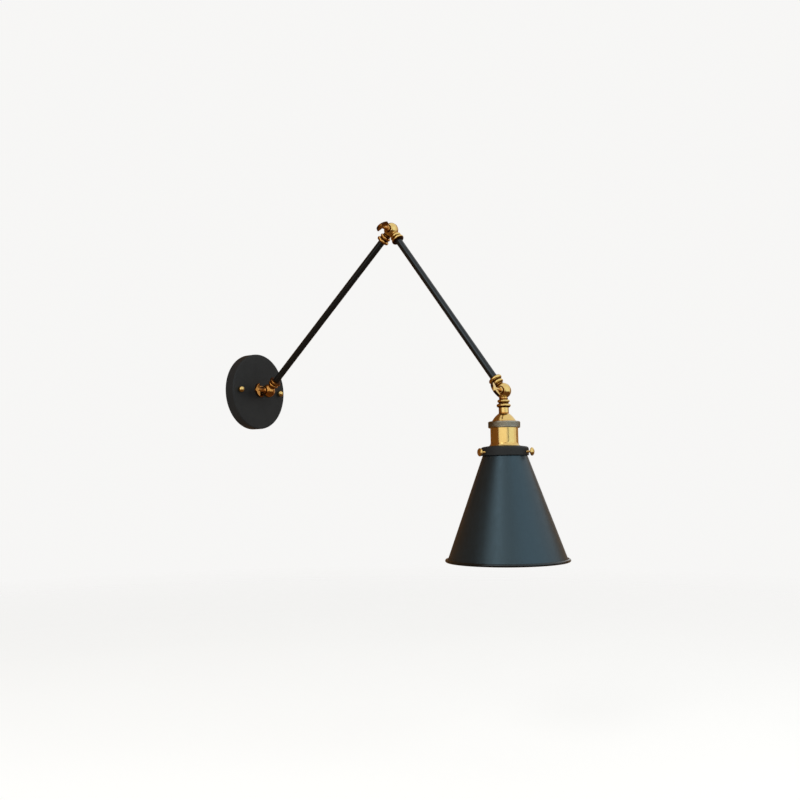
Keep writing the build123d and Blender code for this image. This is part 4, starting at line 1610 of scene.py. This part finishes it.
    def socket(self) -> Skin:
        """Contact cup whose whole thin wall swells out and in as a round screw thread.

        Returns:
            Skin about the lamp's axis.
        """
        outer = self.socket_radius + self.socket_wall
        floor = self.sleeve_top + self.socket_wall
        line = rounded([
            (self.socket_hole, self.sleeve_top, Edge.FINE), (outer, self.sleeve_top, Edge.EASED),
            (outer, self.socket_end, Edge.CRISP), (self.socket_radius, self.socket_end, Edge.CRISP),
            (self.socket_radius, floor, Edge.FINE), (self.socket_hole, floor, Edge.FINE),
        ])
        start, stop = floor + self.socket_lead, self.socket_end - self.socket_plain
        cut = thread(self.socket_pitch, -self.socket_swell, start, stop, outer, self.socket_wall)
        return lathe(finer(line, self.socket_rows, start, self.socket_end), turns=120, ripple=cut)

    def ring_nut(self) -> Skin:
        """Ring nut with grip notches.

        Returns:
            Skin about the lamp's axis.
        """
        bore, radius = self.sleeve_radius + FIT, self.ring_nut_radius
        line = rounded([
            (bore, self.ring_nut_top, Edge.PLAIN), (radius, self.ring_nut_top, Edge.EASED),
            (radius, self.ring_nut_floor, Edge.ROUND), (bore, self.ring_nut_floor, Edge.ROUND),
        ])
        cut = notches(self.ring_nut_notches, self.ring_nut_notch, radius, self.notch_reach)
        return lathe(line, turns=216, ripple=cut)

    def build(self) -> None:
        """Makes and dresses the pieces of the lamp holder."""
        done = self.finishes
        pieces = {
            "holder_cap": (self.cap(), done.brass),
            "coupling_ring": (self.ring(), done.pewter),
            "holder_shell": (self.shell(), done.brass),
            "insulating_sleeve": (self.sleeve(), done.bakelite),
            "screw_shell": (self.socket(), done.brass),
            "shade_ring": (self.ring_nut(), done.bakelite),
        }
        for node, (skin, finish) in pieces.items():
            make_piece(node, skin.mesh(), HEAD_PLACE, [finish])
        dress_node("head_nipple", done.zinc)
        dress_node("porcelain_core", done.porcelain)
        dress_node("terminal_screws", done.brass)
        dress_node("centre_contact", done.brass)


@dataclass
class ShadeHead:
    """Fitter cup, cone shade and three thumb screws; heights run down from the lamp hinge."""

    finishes: Finishes
    fitter_radius: float = 31.6
    fitter_wall: float = 1.0
    fitter_top: float = 73.4
    fitter_edge: float = 86.15
    fitter_hole: float = 16.6
    fitter_drop: float = 1.6
    shoulder: float = 3.5
    foot_radius: float = 20.7
    shade_top: float = 86.55
    shade_bottom: float = 222.6
    top_radius: float = 29.6
    top_edge: float = 0.9
    bottom_radius: float = 78.5
    shade_wall: float = 0.8
    rim: float = 2.0
    rim_margin: float = 0.02
    neck_radius: float = 27.4
    neck_lip: float = 28.3
    screw_place: float = 81.95
    screw_patina: float = 0.3
    shaft_radius: float = 1.5
    shaft_start: float = 27.7
    shaft_lead: float = 0.3
    shaft_plain: float = 0.6
    shaft_pitch: float = 0.7
    shaft_thread: float = 0.22
    shaft_rows: float = 0.12
    collar_start: float = 36.6
    collar_radius: float = 2.6
    head_start: float = 38.2
    head_radius: float = 5.4
    head_edge: float = 1.4
    head_height: float = 3.6
    grip_teeth: int = 36
    grip_tooth: float = 0.2
    grip_lead: float = 0.2
    grip_plain: float = 0.3
    grip_rows: float = 0.25

    def fitter(self) -> Skin:
        """Cup with a shallow sloping top and a round shoulder.

        Returns:
            Skin about the lamp's axis.
        """
        plate, fall = self.fitter_top + self.fitter_wall, self.fitter_top + self.fitter_drop
        inner = self.fitter_radius - self.fitter_wall
        return lathe(rounded([
            (self.fitter_hole, self.fitter_top, Edge.PLAIN), (self.foot_radius, self.fitter_top, 0),
            (self.fitter_radius, fall, self.shoulder), (self.fitter_radius, self.fitter_edge, Edge.SOFT),
            (inner, self.fitter_edge, Edge.SOFT),
            (inner, fall + self.fitter_wall, self.shoulder - self.fitter_wall),
            (self.foot_radius, plate, 0), (self.fitter_hole, plate, Edge.PLAIN),
        ], steps=10), turns=160)

    def shade_line(self) -> Array:
        """Section of the shade: lipped neck, cone and an edge rolled round a bead.

        Returns:
            Rows of radius and height.
        """
        inner_neck = self.neck_radius - self.shade_wall
        slope = self.fitter_drop / (self.fitter_radius - self.fitter_wall - self.foot_radius)
        plate = self.fitter_top + self.fitter_wall + FIT
        inner_top = plate + slope * (inner_neck - self.foot_radius)
        lip_top = plate + slope * (self.neck_lip - self.foot_radius)
        lip_floor, inner_floor = lip_top + self.shade_wall, self.shade_top + self.shade_wall
        top = np.array([self.top_radius, self.shade_top])
        bottom = np.array([self.bottom_radius, self.shade_bottom])
        bead = np.array([self.bottom_radius + self.rim - self.shade_wall, self.shade_bottom])
        along = (bottom - top) / np.linalg.norm(bottom - top)
        foot = (bead - top) @ along
        apart = np.linalg.norm(bead - top - along * foot)
        meets = top + along * (foot - (self.rim**2 - apart**2) ** 0.5) - bead
        start = np.degrees(np.arctan2(meets[1], meets[0]))
        return rounded([
            (inner_neck, inner_top, Edge.PLAIN), (self.neck_lip, lip_top, Edge.EASED),
            (self.neck_lip, lip_floor, Edge.EASED), (self.neck_radius, lip_floor, Edge.PLAIN),
            (self.neck_radius, self.shade_top, Edge.ROUND), (*top, self.top_edge),
            *arc(tuple(bead), self.rim, start, 180, steps=28),
            (self.top_radius - self.shade_wall, inner_floor, Edge.FULL), (inner_neck, inner_floor, Edge.WIDE),
        ], steps=8)

    def shade(self) -> tuple[Skin, Array]:
        """Cone with its rolled edge, enamelled inside.

        Outside it is black with a painted blue sheen, and its roll is darker as painted shade.

        Returns:
            Skin about the lamp's axis, and for each face 0 outside, 1 inside and 2 on the rolled edge.
        """
        skin = lathe(self.shade_line(), turns=224)
        middle = skin.points[skin.faces[0]].mean(1)
        radius, height = np.hypot(middle[:, 0], middle[:, 1]), middle[:, 2]
        fall = (height - self.shade_top) / (self.shade_bottom - self.shade_top)
        wall = self.top_radius + (self.bottom_radius - self.top_radius) * fall - self.shade_wall / 2
        in_cone = (height > self.shade_top + self.shade_wall / 2) & (height < self.shade_bottom)
        bead = self.bottom_radius + self.rim - self.shade_wall
        # painted shade: faces on the rolled edge take the darker arm paint
        rolled = np.hypot(radius - bead, height - self.shade_bottom) < self.rim + self.rim_margin
        return skin, np.where(rolled, 2, in_cone & (radius < wall))

    def thumb_screw(self) -> Skin:
        """Threaded shaft, collar and a domed head with a knurled edge.

        Returns:
            Skin about the screw's axis, from the lamp's axis outwards.
        """
        edge, top = self.head_start + self.head_edge, self.head_start + self.head_height
        rise = top - edge
        curve = (self.head_radius**2 + rise**2) / (2 * rise)
        lean = np.degrees(np.arcsin((edge - top + curve) / curve))
        dome = arc((0, top - curve), curve, lean, 90, steps=20)
        line = rounded([
            (0, self.shaft_start, 0), (self.shaft_radius, self.shaft_start, Edge.ROUND),
            (self.shaft_radius, self.collar_start, Edge.CRISP),
            (self.collar_radius, self.collar_start, Edge.EASED),
            (self.collar_radius, self.head_start, Edge.EASED), (self.head_radius, self.head_start, Edge.SOFT),
            (self.head_radius, edge, Edge.ROUND), *dome[2:-1], (0, top, 0),
        ], steps=5)
        start, stop = self.shaft_start + self.shaft_lead, self.collar_start - self.shaft_plain
        line = finer(line, self.shaft_rows, self.shaft_start, stop)
        line = finer(line, self.grip_rows, self.head_start + self.grip_plain, edge)
        shaft = thread(self.shaft_pitch, self.shaft_thread, start, stop, self.shaft_radius)
        grip_start = self.head_start + self.grip_lead
        grip = knurl(self.grip_teeth, self.grip_tooth, grip_start, edge, self.head_radius)
        return lathe(line, turns=180, ripple=together(shaft, grip)).faint(self.screw_patina)

    def build(self) -> None:
        """Makes and dresses the fitter, the shade and the thumb screws."""
        done = self.finishes
        make_piece("shade_fitter", self.fitter().mesh(), HEAD_PLACE, [done.canopy_paint])
        skin, chosen = self.shade()
        # the third finish darkens the rolled edge as painted shade
        make_piece("shade", skin.mesh(), HEAD_PLACE, [done.shade_paint, done.enamel, done.arm_paint], chosen)
        middle = LAMP_HINGE + DOWN * self.screw_place
        for node in ("front_thumb_screw", "left_thumb_screw", "right_thumb_screw"):
            joint = next(j for j in frame["joints"] if j["child"] == BODY_OF[node])
            place = Place(middle, DOWN, Vector(joint["axis"]).normalized())
            make_piece(node, self.thumb_screw().mesh(), place, [done.brass])


def face(thing: bpy.types.Object, target: Spot) -> None:
    """Turns a light's or card's -Z towards a target.

    Args:
        thing: Light or card, already in its place.
        target: Where it then faces.
    """
    thing.rotation_mode = "QUATERNION"
    thing.rotation_quaternion = (Vector(target) - thing.location).to_track_quat("-Z", "Z")


@dataclass(frozen=True)
class Card:
    """Card that only reflections see; size is its width and height, colour the light that it sends back."""

    name: str
    place: Spot
    target: Spot
    size: tuple[float, float]
    colour: Colour

    def build(self) -> None:
        """Adds the card, a flat sheet that glows evenly."""
        x, y = self.size[0] / 2, self.size[1] / 2
        mesh = bpy.data.meshes.new(self.name)
        mesh.from_pydata([(-x, -y, 0), (x, -y, 0), (x, y, 0), (-x, y, 0)], [], [(0, 1, 2, 3)])
        graph = Graph(bpy.data.materials.new(self.name))
        glow = graph.add("ShaderNodeEmission", inputs={"Color": (*self.colour, 1.0), "Strength": 1.0})
        graph.add("ShaderNodeOutputMaterial", inputs={"Surface": glow.outputs[0]})
        mesh.materials.append(graph.owner)
        card = bpy.data.objects.new(self.name, mesh)
        card.location = self.place
        face(card, self.target)
        for ray in ("camera", "diffuse", "transmission", "volume_scatter", "shadow"):
            setattr(card, f"visible_{ray}", False)
        bpy.context.scene.collection.objects.link(card)


@dataclass(frozen=True)
class SoftBox:
    """Large soft light with a black back that only reflections see.

    Its power is four times its area times the radiance, which is the brightness of its face.
    """

    name: str
    place: Spot
    target: Spot
    size: tuple[float, float]
    radiance: float
    colour: Colour
    depth: float = 0.03

    def build(self) -> None:
        """Adds the light and its back."""
        light = bpy.data.lights.new(self.name, "AREA")
        light.shape = "RECTANGLE"
        light.size, light.size_y = self.size
        light.energy = 4 * self.size[0] * self.size[1] * self.radiance
        light.color = self.colour
        box = bpy.data.objects.new(self.name, light)
        box.location = self.place
        box.visible_camera = False
        face(box, self.target)
        bpy.context.scene.collection.objects.link(box)
        away = (Vector(self.place) - Vector(self.target)).normalized()
        behind = tuple(Vector(self.place) + away * self.depth)
        Card(f"{self.name}_back", behind, self.target, self.size, (0.0, 0.0, 0.0)).build()


LAMP_MIDDLE = (0.0, -0.45, -0.05)       # in metres, as all of the studio
FLOOR_HEIGHT = -0.52


@dataclass
class Studio:
    """Pale floor and world, soft boxes, cards that only reflections see, and the camera; in metres."""

    backdrop: Colour = (0.93, 0.925, 0.915)
    fill: float = 0.45
    floor_pale: Colour = (0.8, 0.795, 0.785)
    floor_shade: Colour = (0.78, 0.775, 0.765)
    floor_cloud: float = 300.0
    floor_haze: float = 0.9
    floor_rings: int = 24
    floor_turns: int = 96
    floor_start: float = 0.02
    floor_radius: float = 2.6
    floor_solid: float = 0.35
    floor_lift: float = 0.53
    sensor: float = 36.0
    lens: float = 38.7155
    camera_at: Spot = (-1.0342243, -0.94806136, -0.14840822)
    camera_azimuth: float = -57.301
    camera_pitch: float = 5.478
    camera_roll: float = -0.829
    lights: tuple[SoftBox | Card, ...] = (
        SoftBox("left_box", (-2.13, -0.98, 0.5), LAMP_MIDDLE, (2.1, 2.6), 0.92, (1.0, 0.96, 0.88)),
        SoftBox("right_box", (-0.31, -2.6, 0.6), LAMP_MIDDLE, (2.3, 2.6), 0.92, (0.88, 0.97, 1.0)),
        SoftBox("high_box", (-1.68, -0.54, 1.18), (0, -0.4, 0.05), (0.7, 0.6), 1.9, (0.95, 0.98, 1.0)),
        Card("wall_card", (0, -0.001, 0), (0, -1, 0), (2.3, 1.9), (0.2, 0.095, 0.033)),
        Card("floor_card", (0, -1.2, FLOOR_HEIGHT + 0.01), (0, -1.2, 1), (5.0, 5.0), (0.13, 0.066, 0.03)),
        Card("right_card", (1.65, -0.86, -0.6), (0, -0.4, 0), (2.36, 1.6), (0.38, 0.24, 0.13)),
        Card("slim_card", (-1.36, -1.75, 0.5), LAMP_MIDDLE, (0.16, 2.4), (0.02, 0.016, 0.012)),
    )

    def world(self) -> None:
        """Pale world for the camera and for reflections, with a weaker one as fill light."""
        graph = Graph(bpy.data.worlds.new("pale_room"))
        bpy.context.scene.world = graph.owner
        fill, room = (
            graph.add("ShaderNodeBackground", inputs={"Color": (*self.backdrop, 1.0), "Strength": strength})
            for strength in (self.fill, 1.0)
        )
        shown = {0: graph.seen(), 1: fill.outputs[0], 2: room.outputs[0]}
        mixed = graph.add("ShaderNodeMixShader", inputs=shown)
        graph.add("ShaderNodeOutputWorld", inputs={"Surface": mixed.outputs[0]})

    def floor_paint(self) -> bpy.types.Material:
        """Pale matt floor, clear from below, that is lifted to the backdrop where it is seen and fades out.

        Returns:
            Material of the floor.
        """
        graph = Graph(bpy.data.materials.new("pale_floor"))
        away = graph.add("ShaderNodeVectorMath", {"operation": "LENGTH"}, {0: graph.place()}).outputs["Value"]
        fade = graph.ranged(away, 0, 1, self.floor_solid * self.floor_radius, self.floor_radius)
        paint = graph.add("ShaderNodeBsdfPrincipled", inputs={
            "Base Color": graph.mix(graph.noise(self.floor_cloud), self.floor_pale, self.floor_shade),
            "Roughness": self.floor_haze,
            "Specular IOR Level": 0.0,
        })
        lift = graph.ranged(graph.seen(), 0.0, self.floor_lift, 0.0, 1.0)
        pale = graph.add("ShaderNodeEmission", inputs={"Color": (*self.backdrop, 1.0), "Strength": lift})
        lit = graph.add("ShaderNodeAddShader", inputs={0: paint.outputs[0], 1: pale.outputs[0]})
        clear = graph.add("ShaderNodeBsdfTransparent")
        gone = graph.math(Join.LARGER, fade, graph.add("ShaderNodeNewGeometry").outputs["Backfacing"])
        mixed = graph.add("ShaderNodeMixShader", inputs={0: gone, 1: lit.outputs[0], 2: clear.outputs[0]})
        graph.add("ShaderNodeOutputMaterial", inputs={"Surface": mixed.outputs[0]})
        return graph.owner

    def floor(self) -> None:
        """Round floor: a disc of points on rings, (r cos t, r sin t) at the floor's height."""
        radius = np.linspace(self.floor_start, self.floor_radius, self.floor_rings)[:, None]
        turn = np.linspace(0, 2 * np.pi, self.floor_turns, endpoint=False)[None, :]
        flat = np.full((self.floor_rings, self.floor_turns), FLOOR_HEIGHT)
        points = np.stack((radius * np.cos(turn), radius * np.sin(turn), flat), 2).reshape(-1, 3)
        index = np.arange(len(points)).reshape(flat.shape)
        faces = [*turned_over(grid_faces(index, False)).tolist(), index[0].tolist()]
        mesh = bpy.data.meshes.new("floor")
        mesh.from_pydata(points.tolist(), [], faces)
        mesh.materials.append(self.floor_paint())
        floor = bpy.data.objects.new("floor", mesh)
        bpy.context.scene.collection.objects.link(floor)

    def camera(self) -> None:
        """Camera at the photograph's place: turned about Z, tipped up, then rolled."""
        data = bpy.data.cameras.new("camera")
        data.sensor_width = self.sensor
        data.lens = self.lens
        camera = bpy.data.objects.new("camera", data)
        turn = Matrix.Rotation(np.radians(self.camera_azimuth), 4, "Z")
        tip = Matrix.Rotation(np.radians(90 + self.camera_pitch), 4, "X")
        roll = Matrix.Rotation(np.radians(self.camera_roll), 4, "Z")
        camera.matrix_world = Matrix.Translation(self.camera_at) @ turn @ tip @ roll
        bpy.context.scene.collection.objects.link(camera)
        bpy.context.scene.camera = camera

    def build(self) -> None:
        """Sets up the room, lights, cards and camera."""
        bpy.context.scene.view_settings.view_transform = "Standard"
        self.world()
        self.floor()
        for light in self.lights:
            light.build()
        self.camera()


def main() -> None:
    """Builds the lamp's sub-assemblies and the studio, in order."""
    logging.basicConfig(level=logging.INFO, format="%(name)s: %(message)s")
    finishes = Finishes()
    for assembly in (WallBase(finishes), Knuckles(finishes), Arms(finishes), LampHolder(finishes),
                     ShadeHead(finishes), Studio()):
        LOG.info("building %s", type(assembly).__name__)
        assembly.build()


if __name__ == "__main__":
    main()
